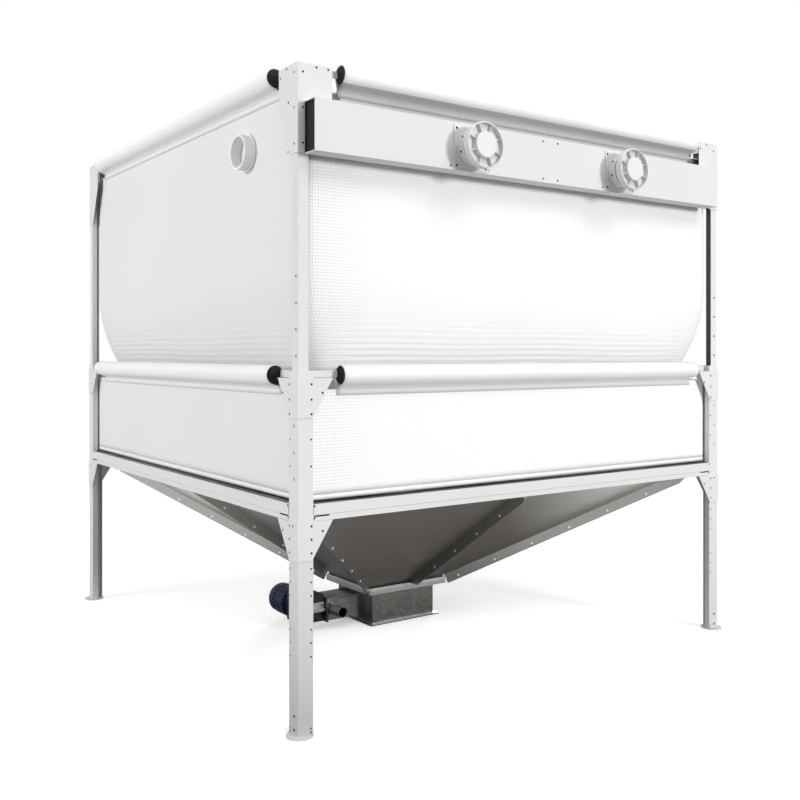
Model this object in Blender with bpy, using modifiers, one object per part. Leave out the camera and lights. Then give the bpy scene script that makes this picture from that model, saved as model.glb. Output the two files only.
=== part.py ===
# Pellet storage tank: a square steel stand that carries a cloth bag over a sheet-steel hopper.
# Metres, +Z up, origin on the floor under the middle of the stand. The filling side faces -Y.
import math

import bmesh
import bpy
from mathutils import Matrix, Vector

# Stand: four telescopic corner posts
FRAME_SIZE = 2.100
SHEET = 0.0025
POST_SHEET = 0.003
FIT = 0.0003
LOWER_LEG = 0.056
UPPER_LEG = 0.037
UPPER_POST_FOOT = 0.800
POST_ABOVE_RAIL = 0.016
HOLE_PITCH = 0.084
ADJUSTING_HOLE = 0.009
ADJUSTING_HOLE_IN = 0.020
ADJUSTING_HOLES = 4
ADJUSTING_HOLE_START = 0.045
SLOT_HOLE = 0.012
SLOT_HOLE_IN = 0.0262
SLOT_HOLES = 3
SLOT_HOLE_START = 0.175

# Feet under the posts
FOOT_RADIUS = 0.044
FOOT_CENTRE_IN = 0.020
FOOT_THICKNESS = 0.005
FOOT_STEPS = 32
FOOT_ANGLE_LEG = 0.036
FOOT_ANGLE_HEIGHT = 0.062
ANCHOR_HOLE = 0.011
ANCHOR_HOLE_IN = 0.044

# Round rails that the cloth hangs on, with a flat tongue at each end
MID_RAIL_Z = 1.1335
TOP_RAIL_Z = 2.100
RAIL_RADIUS = 0.030
RAIL_WALL = 0.002
RAIL_PLUG = 0.006
RAIL_PLUG_HOLE = 0.010
RAIL_INSET = 0.008
RAIL_SIDES = 16
SLEEVE_SETBACK = 0.160
RAIL_RECESS = 0.005
TONGUE_HEIGHT = 0.023
TONGUE_RISE = 0.004
TONGUE_THICKNESS = 0.005
TONGUE_PAST_LIP = 0.004
TONGUE_IN_RAIL = 0.003

# Folded corner brackets
GUSSET_WIDTH = 0.130
GUSSET_FOOT_WIDTH = 0.057
MID_GUSSET_TAPER = 0.124
MID_GUSSET_HEIGHT = 0.1265
LOW_GUSSET_TAPER = 0.1165
LOW_GUSSET_HEIGHT = 0.1215
BRACKET_GAP = 0.0005
HEAD_WIDTH = 0.125
HEAD_HEIGHT = 0.284
HEAD_EDGE = 0.116
HEAD_FOOT_WIDTH = 0.053

# Beams that carry the hopper
BEAM_BOTTOM_Z = 0.673
BEAM_HEIGHT = 0.054
BEAM_LIP_HEIGHT = 0.019
BEAM_STEP = 0.002
BEAM_TOP_FLANGE = 0.034
BEAM_FOOT_FLANGE = 0.030

# Cloth: upper bag and lower skirt
CLOTH = 0.002
CLOTH_INSET = 0.029
CLOTH_GAP = 0.0025
CLOTH_CORNER = 0.050
CORNER_STEPS = 3
SLEEVE_GAP = 0.0008
SLEEVE_CLOTH = 0.0016
SLEEVE_CLOSE = 0.040
SLEEVE_TAIL = 0.066
SLEEVE_ARC_STEPS = 14
CLOTH_TOP_DROP = 0.045
BAG_BELLY_Z = 1.480
BAG_BELLY_RADIUS = 0.780
BAG_RIM_Z = 0.900
BAG_BELLY_STEPS = 6
HEM_RADIUS = 0.011
HEM_Z = 0.747

# Hopper of eight flanged sheets
HOPPER_SHEET = 0.002
HOPPER_BEND_GAP = 0.004
HOPPER_RIM = 0.030
HOPPER_RIM_END_GAP = 0.006
HOPPER_FLANGE = 0.044
HOPPER_FLANGE_TOP = 0.022
HOPPER_FLANGE_TAPER = 0.070
HOPPER_SEAM = 0.0004
OUTLET_RIM = 0.042
OUTLET_LIP = 0.0155
OUTLET_CORNER_GAP = 0.014
HIP_FLANGE_STOP = 0.038
MID_FLANGE_STOP = 0.027
MID_FLANGE_STOP_AT_DRIVE = 0.150

# Trough under the hopper
TROUGH_LENGTH = 0.335
TROUGH_WIDTH = 0.285
TROUGH_TOP_Z = 0.157
TROUGH_FLANGE = 0.042
TROUGH_LIP = 0.0135
TROUGH_FOOT_FLANGE = 0.020
COVER_THICKNESS = 0.003

# Auger, discharge channel with its suction pipe, and drive on the -X side
AUGER_Z = 0.085
AUGER_RADIUS = 0.0375
AUGER_SHAFT_RADIUS = 0.010
AUGER_PITCH = 0.065
AUGER_FLIGHT = 0.003
AUGER_STEPS_PER_TURN = 12
AUGER_END_GAP = 0.012
AUGER_BORE_GAP = 0.004
SHAFT_GAP = 0.0004
SHAFT_PAST_TROUGH = 0.015
CHANNEL_LENGTH = 0.192
CHANNEL_WIDTH = 0.120
CHANNEL_HEIGHT = 0.098
CHANNEL_BOTTOM_Z = 0.030
END_PLATE_THICKNESS = 0.004
END_PLATE_WIDTH = 0.170
END_PLATE_ABOVE = 0.006
PIPE_RADIUS = 0.024
PIPE_WALL = 0.002
PIPE_LENGTH = 0.100
PIPE_FROM_END = 0.028
GEARBOX_LENGTH = 0.125
GEARBOX_WIDTH = 0.120
GEARBOX_HEIGHT = 0.120
GEARBOX_BOTTOM_Z = 0.030
GEARBOX_BEVEL = 0.008
SHAFT_IN_GEARBOX = 0.045
MOTOR_Z = 0.096
MOTOR_FROM_FACE = 0.076
MOTOR_RADIUS = 0.0665
MOTOR_FIN_DEPTH = 0.006
MOTOR_FINS = 20
MOTOR_LENGTH = 0.092
MOTOR_COWL_LENGTH = 0.042
MOTOR_COWL_ROUND = 0.012
MOTOR_FLANGE_RADIUS = 0.050
MOTOR_FLANGE_LENGTH = 0.012

# Fascia channel with two filling couplings
FASCIA_LEFT_END_IN = 0.027
FASCIA_RIGHT_END_IN = 0.090
FASCIA_HEIGHT = 0.165
FASCIA_BELOW_RAIL = 0.105
FASCIA_DEPTH = 0.0655
COUPLING_SPACING = 0.7445
COUPLING_UP_FASCIA = 0.080
COUPLING_PLATE = 0.150
COUPLING_PLATE_THICKNESS = 0.003
FILLER_RADIUS = 0.054
FILLER_WALL = 0.004
FILLER_INSIDE_BAG = 0.160
FILLER_HOLE_GAP = 0.0010
NECK_LENGTH = 0.0565
COLLAR_RADIUS = 0.0605
COLLAR_LENGTH = 0.032
CAP_RADIUS = 0.079
CAP_BORE_RADIUS = 0.064
CAP_SKIRT = 0.0045
CAP_RUN_GAP = 0.0005
CAP_WEB = 0.008
CAP_HUB_RADIUS = 0.045
CAP_HUB_HEIGHT = 0.016
CAP_RIM_WIDTH = 0.007
CAP_EDGE = 0.003
CAP_RIBS = 8
CAP_RIB_WIDTH = 0.006
CAP_RIB_BELOW_RIM = 0.004
DISC_THICKNESS = 0.006
DISC_RADIUS = 0.060
DISC_BOSS_DEPTH = 0.006
DISC_BOSS_GAP = 0.001
TURNED_STEPS = 24

# Port collar on the -X wall of the bag
PORT_FROM_CORNER = 0.409
PORT_BELOW_RAIL = 0.200
PORT_RADIUS = 0.061
PORT_WALL = 0.007
PORT_REACH = 0.038
PORT_FOOT = 0.006
PORT_FOOT_RADIUS = 0.067

# Planes that several pieces share, as distances from the middle of the stand
HALF = FRAME_SIZE / 2
LOWER_OUT = HALF - SHEET - FIT
UPPER_OUT = LOWER_OUT - POST_SHEET - FIT
HEAD_OUT = UPPER_OUT + FIT + SHEET
CLOTH_HALF = HALF - CLOTH_INSET
LIP_END = CLOTH_HALF + CLOTH_GAP
RAIL_HALF = HALF - RAIL_INSET
SLEEVE_HALF_LENGTH = HALF - SLEEVE_SETBACK
BEAM_HALF_LENGTH = LOWER_OUT - LOWER_LEG - FIT
BEAM_TOP_Z = BEAM_BOTTOM_Z + BEAM_HEIGHT
BEAM_LIP_OUT = HALF - BEAM_STEP
HOPPER_TOP_HALF = HALF - BEAM_TOP_FLANGE - HOPPER_BEND_GAP
HOPPER_TOP_Z = BEAM_TOP_Z + FIT + HOPPER_SHEET
HOPPER_BOTTOM_Z = TROUGH_TOP_Z + FIT
CHANNEL_RIGHT_X = -TROUGH_LENGTH / 2 - FIT
CHANNEL_LEFT_X = CHANNEL_RIGHT_X - CHANNEL_LENGTH
END_PLATE_X = CHANNEL_LEFT_X - END_PLATE_THICKNESS
PIPE_X = CHANNEL_LEFT_X + PIPE_FROM_END
GEARBOX_RIGHT_X = END_PLATE_X - FIT
MOTOR_X = GEARBOX_RIGHT_X - MOTOR_FROM_FACE
FASCIA_FRONT = HEAD_OUT + FIT + FASCIA_DEPTH
FASCIA_LEFT_X = -HALF + FASCIA_LEFT_END_IN
FASCIA_RIGHT_X = HALF - FASCIA_RIGHT_END_IN
FASCIA_TOP_Z = TOP_RAIL_Z - FASCIA_BELOW_RAIL
FASCIA_BOTTOM_Z = FASCIA_TOP_Z - FASCIA_HEIGHT
COUPLING_Z = FASCIA_BOTTOM_Z + COUPLING_UP_FASCIA
NECK_END = FASCIA_FRONT + NECK_LENGTH

CORNER_TURNS = {"front_left": 0, "front_right": 90, "back_right": 180, "back_left": 270}
SIDE_TURNS = {"front": 0, "right": 90, "back": 180, "left": 270}
WELD = 0.00001


def clear_scene():
    for old in list(bpy.data.objects):
        bpy.data.objects.remove(old, do_unlink=True)


def new_collection(name):
    collection = bpy.data.collections.new(name)
    bpy.context.scene.collection.children.link(collection)
    return collection


def new_material(name, colour, roughness, metallic):
    material = bpy.data.materials.new(name)
    material.use_nodes = True
    shader = material.node_tree.nodes["Principled BSDF"]
    shader.inputs["Base Color"].default_value = (*colour, 1.0)
    shader.inputs["Roughness"].default_value = roughness
    shader.inputs["Metallic"].default_value = metallic
    return material


clear_scene()
TANK = new_collection("pellet_storage_tank")
CUTTERS = new_collection("tank_cutters")
PAINTED = new_material("white_powder_coat", (0.80, 0.80, 0.79), 0.45, 0.0)
GALVANISED = new_material("galvanised_sheet", (0.30, 0.29, 0.28), 0.45, 0.8)
WHITE_CLOTH = new_material("white_cloth", (0.83, 0.83, 0.82), 0.85, 0.0)
CAST_ALLOY = new_material("cast_aluminium", (0.74, 0.74, 0.73), 0.40, 0.6)
WHITE_PLASTIC = new_material("white_plastic", (0.82, 0.82, 0.81), 0.50, 0.0)
NAVY_ENAMEL = new_material("navy_enamel", (0.02, 0.025, 0.07), 0.45, 0.1)
DARK_CASTING = new_material("dark_casting", (0.06, 0.06, 0.06), 0.55, 0.4)


def new_empty(name, location=(0, 0, 0), parent=None):
    empty = bpy.data.objects.new(name, None)
    empty.location = location
    empty.parent = parent
    TANK.objects.link(empty)
    return empty


STAND = new_empty("stand")
UPPER_FRAME = new_empty("upper_frame", parent=STAND)
AUGER_AXIS = new_empty("auger_axis", (0, 0, AUGER_Z), STAND)


def add_object(name, mesh, location=(0, 0, 0), turn=0.0):
    piece = bpy.data.objects.new(name, mesh)
    piece.location = location
    piece.rotation_euler = (0, 0, math.radians(turn))
    TANK.objects.link(piece)
    return piece


def finish(piece, material, parent, smooth=False):
    piece.parent = parent
    piece.data.materials.clear()
    piece.data.materials.append(material)
    if smooth:
        piece.data.shade_smooth()
        piece.data.set_sharp_from_angle(angle=math.radians(35))
    return piece


def as_cutter(piece):
    TANK.objects.unlink(piece)
    CUTTERS.objects.link(piece)
    piece.hide_render = True
    piece.display_type = "WIRE"
    return piece


def solidify(piece, thickness):
    modifier = piece.modifiers.new("thickness", "SOLIDIFY")
    modifier.thickness = thickness
    modifier.offset = -1
    modifier.use_even_offset = True
    modifier.use_quality_normals = True


def combine(piece, tool, operation):
    modifier = piece.modifiers.new(operation.lower(), "BOOLEAN")
    modifier.operation = operation
    modifier.solver = "EXACT"
    modifier.object = as_cutter(tool)


def mesh_from_bmesh(name, work):
    mesh = bpy.data.meshes.new(name)
    work.to_mesh(mesh)
    work.free()
    return mesh


def surface_mesh(name, faces, facing):
    # Faces given as point lists become one welded sheet. The first face looks along facing.
    work = bmesh.new()
    for points in faces:
        work.faces.new([work.verts.new(point) for point in points])
    bmesh.ops.remove_doubles(work, verts=work.verts, dist=WELD)
    work.faces.ensure_lookup_table()
    bmesh.ops.recalc_face_normals(work, faces=work.faces)
    work.normal_update()
    if work.faces[0].normal.dot(Vector(facing)) < 0:
        bmesh.ops.reverse_faces(work, faces=work.faces)
    return mesh_from_bmesh(name, work)


def strip_faces(profile, place, length_low, length_high):
    # A bent strip: each leg of the profile runs between two places along its length.
    return [[place(a, length_low), place(b, length_low), place(b, length_high), place(a, length_high)]
            for a, b in zip(profile, profile[1:])]


def ring_faces(rings):
    faces = []
    for upper, lower in zip(rings, rings[1:]):
        count = len(upper)
        for i in range(count):
            j = (i + 1) % count
            faces.append([upper[i], lower[i], lower[j], upper[j]])
    return faces


def circle(radius, steps, centre=(0, 0)):
    angles = [2 * math.pi * i / steps for i in range(steps)]
    return [(centre[0] + radius * math.cos(a), centre[1] + radius * math.sin(a)) for a in angles]


def rectangle_ring(half_x, half_y, z):
    return [(x * half_x, y * half_y, z) for x, y in ((-1, -1), (1, -1), (1, 1), (-1, 1))]


def rounded_square_ring(half, radius, z):
    ring = []
    for quarter in range(4):
        middle = Matrix.Rotation(quarter * math.pi / 2, 2) @ Vector((half - radius, half - radius))
        for step in range(CORNER_STEPS + 1):
            angle = (quarter + step / CORNER_STEPS) * math.pi / 2
            ring.append((middle.x + radius * math.cos(angle), middle.y + radius * math.sin(angle), z))
    return ring


def outline_mesh(name, loops, thickness, matrix=Matrix()):
    # A flat outline, with any holes as further loops, extruded evenly to both sides of its plane.
    curve = bpy.data.curves.new(name, "CURVE")
    curve.dimensions = "2D"
    curve.fill_mode = "BOTH"
    curve.extrude = thickness / 2
    for loop in loops:
        spline = curve.splines.new("POLY")
        spline.points.add(len(loop) - 1)
        for point, (x, y) in zip(spline.points, loop):
            point.co = (x, y, 0, 1)
        spline.use_cyclic_u = True
    return evaluated_mesh(bpy.data.objects.new(name, curve), matrix)


def evaluated_mesh(holder, matrix=Matrix()):
    # The finished shape of a curve or of a mesh with modifiers, welded and facing outwards.
    bpy.context.scene.collection.objects.link(holder)
    depsgraph = bpy.context.evaluated_depsgraph_get()
    mesh = bpy.data.meshes.new_from_object(holder.evaluated_get(depsgraph))
    bpy.data.objects.remove(holder, do_unlink=True)
    work = bmesh.new()
    work.from_mesh(mesh)
    bmesh.ops.remove_doubles(work, verts=work.verts, dist=WELD)
    bmesh.ops.recalc_face_normals(work, faces=work.faces)
    work.transform(matrix)
    work.to_mesh(mesh)
    work.free()
    return mesh


def box_mesh(name, low, high):
    work = bmesh.new()
    bmesh.ops.create_cube(work, size=1)
    low, high = Vector(low), Vector(high)
    bmesh.ops.scale(work, verts=work.verts, vec=high - low)
    bmesh.ops.translate(work, verts=work.verts, vec=(low + high) / 2)
    return mesh_from_bmesh(name, work)


def cylinder_into(work, radius, start, end, steps):
    start, end = Vector(start), Vector(end)
    axis = end - start
    turn = axis.to_track_quat("Z", "Y").to_matrix().to_4x4()
    place = Matrix.Translation((start + end) / 2) @ turn
    bmesh.ops.create_cone(work, cap_ends=True, segments=steps, radius1=radius, radius2=radius,
                          depth=axis.length, matrix=place)


def cylinder_mesh(name, radius, start, end, steps):
    work = bmesh.new()
    cylinder_into(work, radius, start, end, steps)
    return mesh_from_bmesh(name, work)


def turned(name, profile, axis_turn):
    # A profile of (radius, height) points, turned about its height axis. It is closed unless it
    # starts and ends on that axis.
    work = bmesh.new()
    points = [work.verts.new((radius, 0, height)) for radius, height in profile]
    pairs = list(zip(points, points[1:]))
    if profile[0][0] > 0:
        pairs.append((points[-1], points[0]))
    for a, b in pairs:
        work.edges.new((a, b))
    holder = bpy.data.objects.new(name, mesh_from_bmesh(name, work))
    modifier = holder.modifiers.new("turn", "SCREW")
    modifier.steps = TURNED_STEPS
    modifier.render_steps = TURNED_STEPS
    modifier.use_merge_vertices = True
    modifier.merge_threshold = WELD
    piece = add_object(name, evaluated_mesh(holder))
    piece.rotation_euler = axis_turn
    return piece


# Local axes for plates: (across, up) drawn in XY, stood up to face -Y, or to face along X
FACING_FRONT = Matrix.Rotation(math.pi / 2, 4, "X")
TURN_TO_FRONT = (math.pi / 2, 0, 0)
TURN_TO_BACK = (-math.pi / 2, 0, 0)
TURN_TO_LEFT = (0, -math.pi / 2, 0)


def corner_profile(out, leg, lip_end):
    # Plan of a lipped angle at the front left corner, from one lip round the corner to the other.
    inner = -(out - leg)
    return [(-lip_end, inner), (-out, inner), (-out, -out), (inner, -out), (inner, -lip_end)]


def post_mesh(name, out, leg, bottom, top):
    profile = corner_profile(out, leg, LIP_END)
    faces = strip_faces(profile, lambda p, z: (p[0], p[1], z), bottom, top)
    return surface_mesh(name, faces[1:] + faces[:1], (-1, 0, 0))


def post_holes(name, out, inset, diameter, heights):
    # Round holes through the left leg of the front left post, which is turned to make the other three.
    work = bmesh.new()
    at = -(HALF - inset)
    for z in heights:
        cylinder_into(work, diameter / 2, (-out - POST_SHEET, at, z), (-out + 2 * POST_SHEET, at, z), 8)
    return add_object(name, mesh_from_bmesh(name, work))


def drilled_post(name, turn, mesh, cutter, parent):
    post = add_object(name, mesh, turn=turn)
    solidify(post, POST_SHEET)
    cutter.rotation_euler.z = math.radians(turn)
    combine(post, cutter, "DIFFERENCE")
    finish(post, PAINTED, parent)


def build_posts():
    lower_top = MID_RAIL_Z + POST_ABOVE_RAIL
    upper_top = TOP_RAIL_Z + POST_ABOVE_RAIL
    slots = [lower_top - SLOT_HOLE_START - HOLE_PITCH * i for i in range(SLOT_HOLES)]
    holes = [lower_top + ADJUSTING_HOLE_START + HOLE_PITCH * i for i in range(ADJUSTING_HOLES)]
    lower = post_mesh("lower_post", LOWER_OUT, LOWER_LEG, FOOT_THICKNESS + FIT, lower_top)
    upper = post_mesh("upper_post", UPPER_OUT, UPPER_LEG, UPPER_POST_FOOT, upper_top)
    for corner, turn in CORNER_TURNS.items():
        cutter = post_holes(f"slots_{corner}", LOWER_OUT, SLOT_HOLE_IN, SLOT_HOLE, slots)
        drilled_post(f"lower_post_{corner}", turn, lower, cutter, STAND)
        cutter = post_holes(f"holes_{corner}", UPPER_OUT, ADJUSTING_HOLE_IN, ADJUSTING_HOLE, holes)
        drilled_post(f"upper_post_{corner}", turn, upper, cutter, UPPER_FRAME)


def build_feet():
    # Round plates under the corners of the posts, with an angle upstand inside each.
    centre, anchor = -HALF + FOOT_CENTRE_IN, -HALF + ANCHOR_HOLE_IN
    loops = [circle(FOOT_RADIUS, FOOT_STEPS, (centre, centre)), circle(ANCHOR_HOLE / 2, 12, (anchor, anchor))]
    lift = Matrix.Translation((0, 0, FOOT_THICKNESS / 2))
    angle_out = LOWER_OUT - POST_SHEET - FIT
    inner = -(angle_out - FOOT_ANGLE_LEG)
    angle = [(-angle_out, inner), (-angle_out, -angle_out), (inner, -angle_out)]
    for corner, turn in CORNER_TURNS.items():
        plate = add_object(f"foot_plate_{corner}", outline_mesh("foot_plate", loops, FOOT_THICKNESS, lift),
                           turn=turn)
        faces = strip_faces(angle, lambda p, z: (p[0], p[1], z), FOOT_THICKNESS / 2, FOOT_ANGLE_HEIGHT)
        upstand = add_object(f"foot_angle_{corner}", surface_mesh("foot_angle", faces, (-1, 0, 0)), turn=turn)
        solidify(upstand, SHEET)
        combine(plate, upstand, "UNION")
        finish(plate, PAINTED, STAND)


def folded_plate(name, outline, out, turn, parent):
    # One outline of (along, height) points on each face of the corner, joined at the fold.
    side = [(-out, -(out - along), z) for along, z in outline]
    front = [(y, x, z) for x, y, z in side]
    plate = add_object(name, surface_mesh("folded_plate", [side, front], (-1, 0, 0)), turn=turn)
    solidify(plate, SHEET)
    finish(plate, PAINTED, parent)


def gusset_outline(top, taper, height):
    return [(0, top - height), (GUSSET_FOOT_WIDTH, top - height), (GUSSET_FOOT_WIDTH, top - taper),
            (GUSSET_WIDTH, top), (0, top)]


def build_brackets():
    head_top = TOP_RAIL_Z + POST_ABOVE_RAIL
    head_bottom = head_top - HEAD_HEIGHT
    head = [(0, head_bottom), (HEAD_FOOT_WIDTH, head_bottom), (HEAD_WIDTH, head_top - HEAD_EDGE),
            (HEAD_WIDTH, head_top), (0, head_top)]
    mid_top = MID_RAIL_Z + TONGUE_RISE - TONGUE_HEIGHT / 2 - BRACKET_GAP
    mid = gusset_outline(mid_top, MID_GUSSET_TAPER, MID_GUSSET_HEIGHT)
    bottom = gusset_outline(BEAM_BOTTOM_Z - BRACKET_GAP, LOW_GUSSET_TAPER, LOW_GUSSET_HEIGHT)
    for corner, turn in CORNER_TURNS.items():
        folded_plate(f"head_bracket_{corner}", head, HEAD_OUT, turn, UPPER_FRAME)
        folded_plate(f"mid_bracket_{corner}", mid, HALF, turn, STAND)
        folded_plate(f"bottom_bracket_{corner}", bottom, HALF, turn, STAND)


def build_rails(prefix, z, lip_from, parent):
    # A round tube with a pierced plug and a flat tongue at each end. The tongue lies behind
    # the post's lip.
    rail_half = SLEEVE_HALF_LENGTH - RAIL_RECESS
    tongue_out = LIP_END - FIT
    tongue_end = lip_from + POST_SHEET + TONGUE_PAST_LIP
    tongue_low = z + TONGUE_RISE - TONGUE_HEIGHT / 2
    for side, turn in SIDE_TURNS.items():
        start, end = (-rail_half, -RAIL_HALF, z), (rail_half, -RAIL_HALF, z)
        rail = add_object(f"{prefix}_rail_{side}", cylinder_mesh("rail", RAIL_RADIUS, start, end, RAIL_SIDES),
                          turn=turn)
        hollow = rail_half - RAIL_PLUG
        bore = cylinder_mesh("rail_bore", RAIL_RADIUS - RAIL_WALL, (-hollow, -RAIL_HALF, z),
                             (hollow, -RAIL_HALF, z), RAIL_SIDES)
        combine(rail, add_object(f"{prefix}_bore_{side}", bore, turn=turn), "DIFFERENCE")
        vent = cylinder_mesh("plug_hole", RAIL_PLUG_HOLE / 2, (-2 * rail_half, -RAIL_HALF, z),
                             (2 * rail_half, -RAIL_HALF, z), 8)
        combine(rail, add_object(f"{prefix}_plug_hole_{side}", vent, turn=turn), "DIFFERENCE")
        for end_name, sign in (("left", -1), ("right", 1)):
            reach = sorted((sign * (rail_half - TONGUE_IN_RAIL), sign * tongue_end))
            low = (reach[0], -tongue_out, tongue_low)
            high = (reach[1], -tongue_out + TONGUE_THICKNESS, tongue_low + TONGUE_HEIGHT)
            tongue_mesh = box_mesh("tongue", low, high)
            tongue = add_object(f"{prefix}_tongue_{side}_{end_name}", tongue_mesh, turn=turn)
            combine(rail, tongue, "UNION")
        finish(rail, PAINTED, parent, smooth=True)


def build_beams():
    # A stepped channel, open to the inside, that runs from lip to lip of the lower posts.
    step_z = BEAM_BOTTOM_Z + BEAM_LIP_HEIGHT
    profile = [(HALF - BEAM_TOP_FLANGE, BEAM_TOP_Z), (HALF, BEAM_TOP_Z),
               (HALF, step_z + BEAM_STEP / 2), (BEAM_LIP_OUT, step_z - BEAM_STEP / 2),
               (BEAM_LIP_OUT, BEAM_BOTTOM_Z), (BEAM_LIP_OUT - BEAM_FOOT_FLANGE, BEAM_BOTTOM_Z)]
    faces = strip_faces(profile, lambda p, x: (x, -p[0], p[1]), -BEAM_HALF_LENGTH, BEAM_HALF_LENGTH)
    mesh = surface_mesh("bottom_beam", faces, (0, 0, 1))
    for side, turn in SIDE_TURNS.items():
        beam = add_object(f"bottom_beam_{side}", mesh, turn=turn)
        solidify(beam, SHEET)
        finish(beam, PAINTED, STAND)


def sleeve_outline():
    # Section of the sleeve round a rail, in (outward, up) from the rail's axis.
    outer = RAIL_RADIUS + SLEEVE_GAP + SLEEVE_CLOTH
    wall = CLOTH_HALF - RAIL_HALF
    tail_front = Vector((wall + SLEEVE_CLOTH, -SLEEVE_CLOSE))
    tail_back = Vector((wall - CLOTH * 0.8, -SLEEVE_CLOSE))
    start = tangent_angle(tail_front, outer, 1)
    end = tangent_angle(tail_back, outer, -1)
    sweep = (end - start) % (2 * math.pi)
    angles = [start + sweep * i / SLEEVE_ARC_STEPS for i in range(SLEEVE_ARC_STEPS + 1)]
    arc = [(outer * math.cos(a), outer * math.sin(a)) for a in angles]
    front = [(tail_front.x, -SLEEVE_TAIL), tuple(tail_front)]
    back = [tuple(tail_back), (tail_back.x, -SLEEVE_TAIL)]
    return front + arc + back


def tangent_angle(point, radius, side):
    return math.atan2(point.y, point.x) + side * math.acos(radius / point.length)


def sleeves(name, z):
    # The four sleeves, drawn across the front rail and turned round the stand.
    loops = [sleeve_outline(), circle(RAIL_RADIUS + SLEEVE_GAP, RAIL_SIDES)]
    across = Matrix(((0, 0, 1, 0), (-1, 0, 0, -RAIL_HALF), (0, 1, 0, z), (0, 0, 0, 1)))
    one = outline_mesh(name, loops, 2 * SLEEVE_HALF_LENGTH, across)
    work = bmesh.new()
    for turn in SIDE_TURNS.values():
        one.transform(Matrix.Rotation(math.radians(turn), 4, "Z"))
        work.from_mesh(one)
        one.transform(Matrix.Rotation(math.radians(-turn), 4, "Z"))
    bmesh.ops.recalc_face_normals(work, faces=work.faces)
    return add_object(name, mesh_from_bmesh(name, work))


def build_bag():
    # Straight walls under a closed top, drawn in below along an arc to an open rim.
    rings = [rounded_square_ring(CLOTH_HALF, CLOTH_CORNER, TOP_RAIL_Z - CLOTH_TOP_DROP)]
    last = math.asin((BAG_BELLY_Z - BAG_RIM_Z) / BAG_BELLY_RADIUS)
    for step in range(BAG_BELLY_STEPS + 1):
        angle = last * step / BAG_BELLY_STEPS
        half = CLOTH_HALF - BAG_BELLY_RADIUS * (1 - math.cos(angle))
        z = BAG_BELLY_Z - BAG_BELLY_RADIUS * math.sin(angle)
        rings.append(rounded_square_ring(half, CLOTH_CORNER, z))
    bag = add_object("upper_bag", surface_mesh("upper_bag", [rings[0]] + ring_faces(rings), (0, 0, 1)))
    solidify(bag, CLOTH)
    combine(bag, sleeves("bag_sleeves", TOP_RAIL_Z), "UNION")
    work = bmesh.new()
    for x in coupling_places():
        hole = FILLER_RADIUS + FILLER_HOLE_GAP
        outside, inside = (x, -RAIL_HALF, COUPLING_Z), (x, -CLOTH_HALF * 0.9, COUPLING_Z)
        cylinder_into(work, hole, outside, inside, TURNED_STEPS)
    combine(bag, add_object("bag_holes", mesh_from_bmesh("bag_holes", work)), "DIFFERENCE")
    finish(bag, WHITE_CLOTH, UPPER_FRAME)


def build_skirt():
    # A flat band of cloth from the middle rails down to a rolled hem over the beams.
    rings = [rounded_square_ring(CLOTH_HALF, CLOTH_CORNER, z) for z in (MID_RAIL_Z - CLOTH_TOP_DROP, HEM_Z)]
    skirt = add_object("lower_skirt", surface_mesh("lower_skirt", ring_faces(rings), (0, 1, 0)))
    outward = skirt.data.polygons[0].normal.dot(skirt.data.polygons[0].center) > 0
    if not outward:
        skirt.data.flip_normals()
    solidify(skirt, CLOTH)
    combine(skirt, sleeves("skirt_sleeves", MID_RAIL_Z), "UNION")
    combine(skirt, rolled_hem(), "UNION")
    finish(skirt, WHITE_CLOTH, STAND)


def rolled_hem():
    curve = bpy.data.curves.new("rolled_hem", "CURVE")
    curve.dimensions = "3D"
    curve.bevel_depth = HEM_RADIUS
    curve.bevel_resolution = 1
    ring = rounded_square_ring(CLOTH_HALF - HEM_RADIUS + CLOTH_GAP / 4, CLOTH_CORNER - HEM_RADIUS, HEM_Z)
    spline = curve.splines.new("POLY")
    spline.points.add(len(ring) - 1)
    for point, place in zip(spline.points, ring):
        point.co = (*place, 1)
    spline.use_cyclic_u = True
    return add_object("rolled_hem", evaluated_mesh(bpy.data.objects.new("rolled_hem", curve)))


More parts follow.
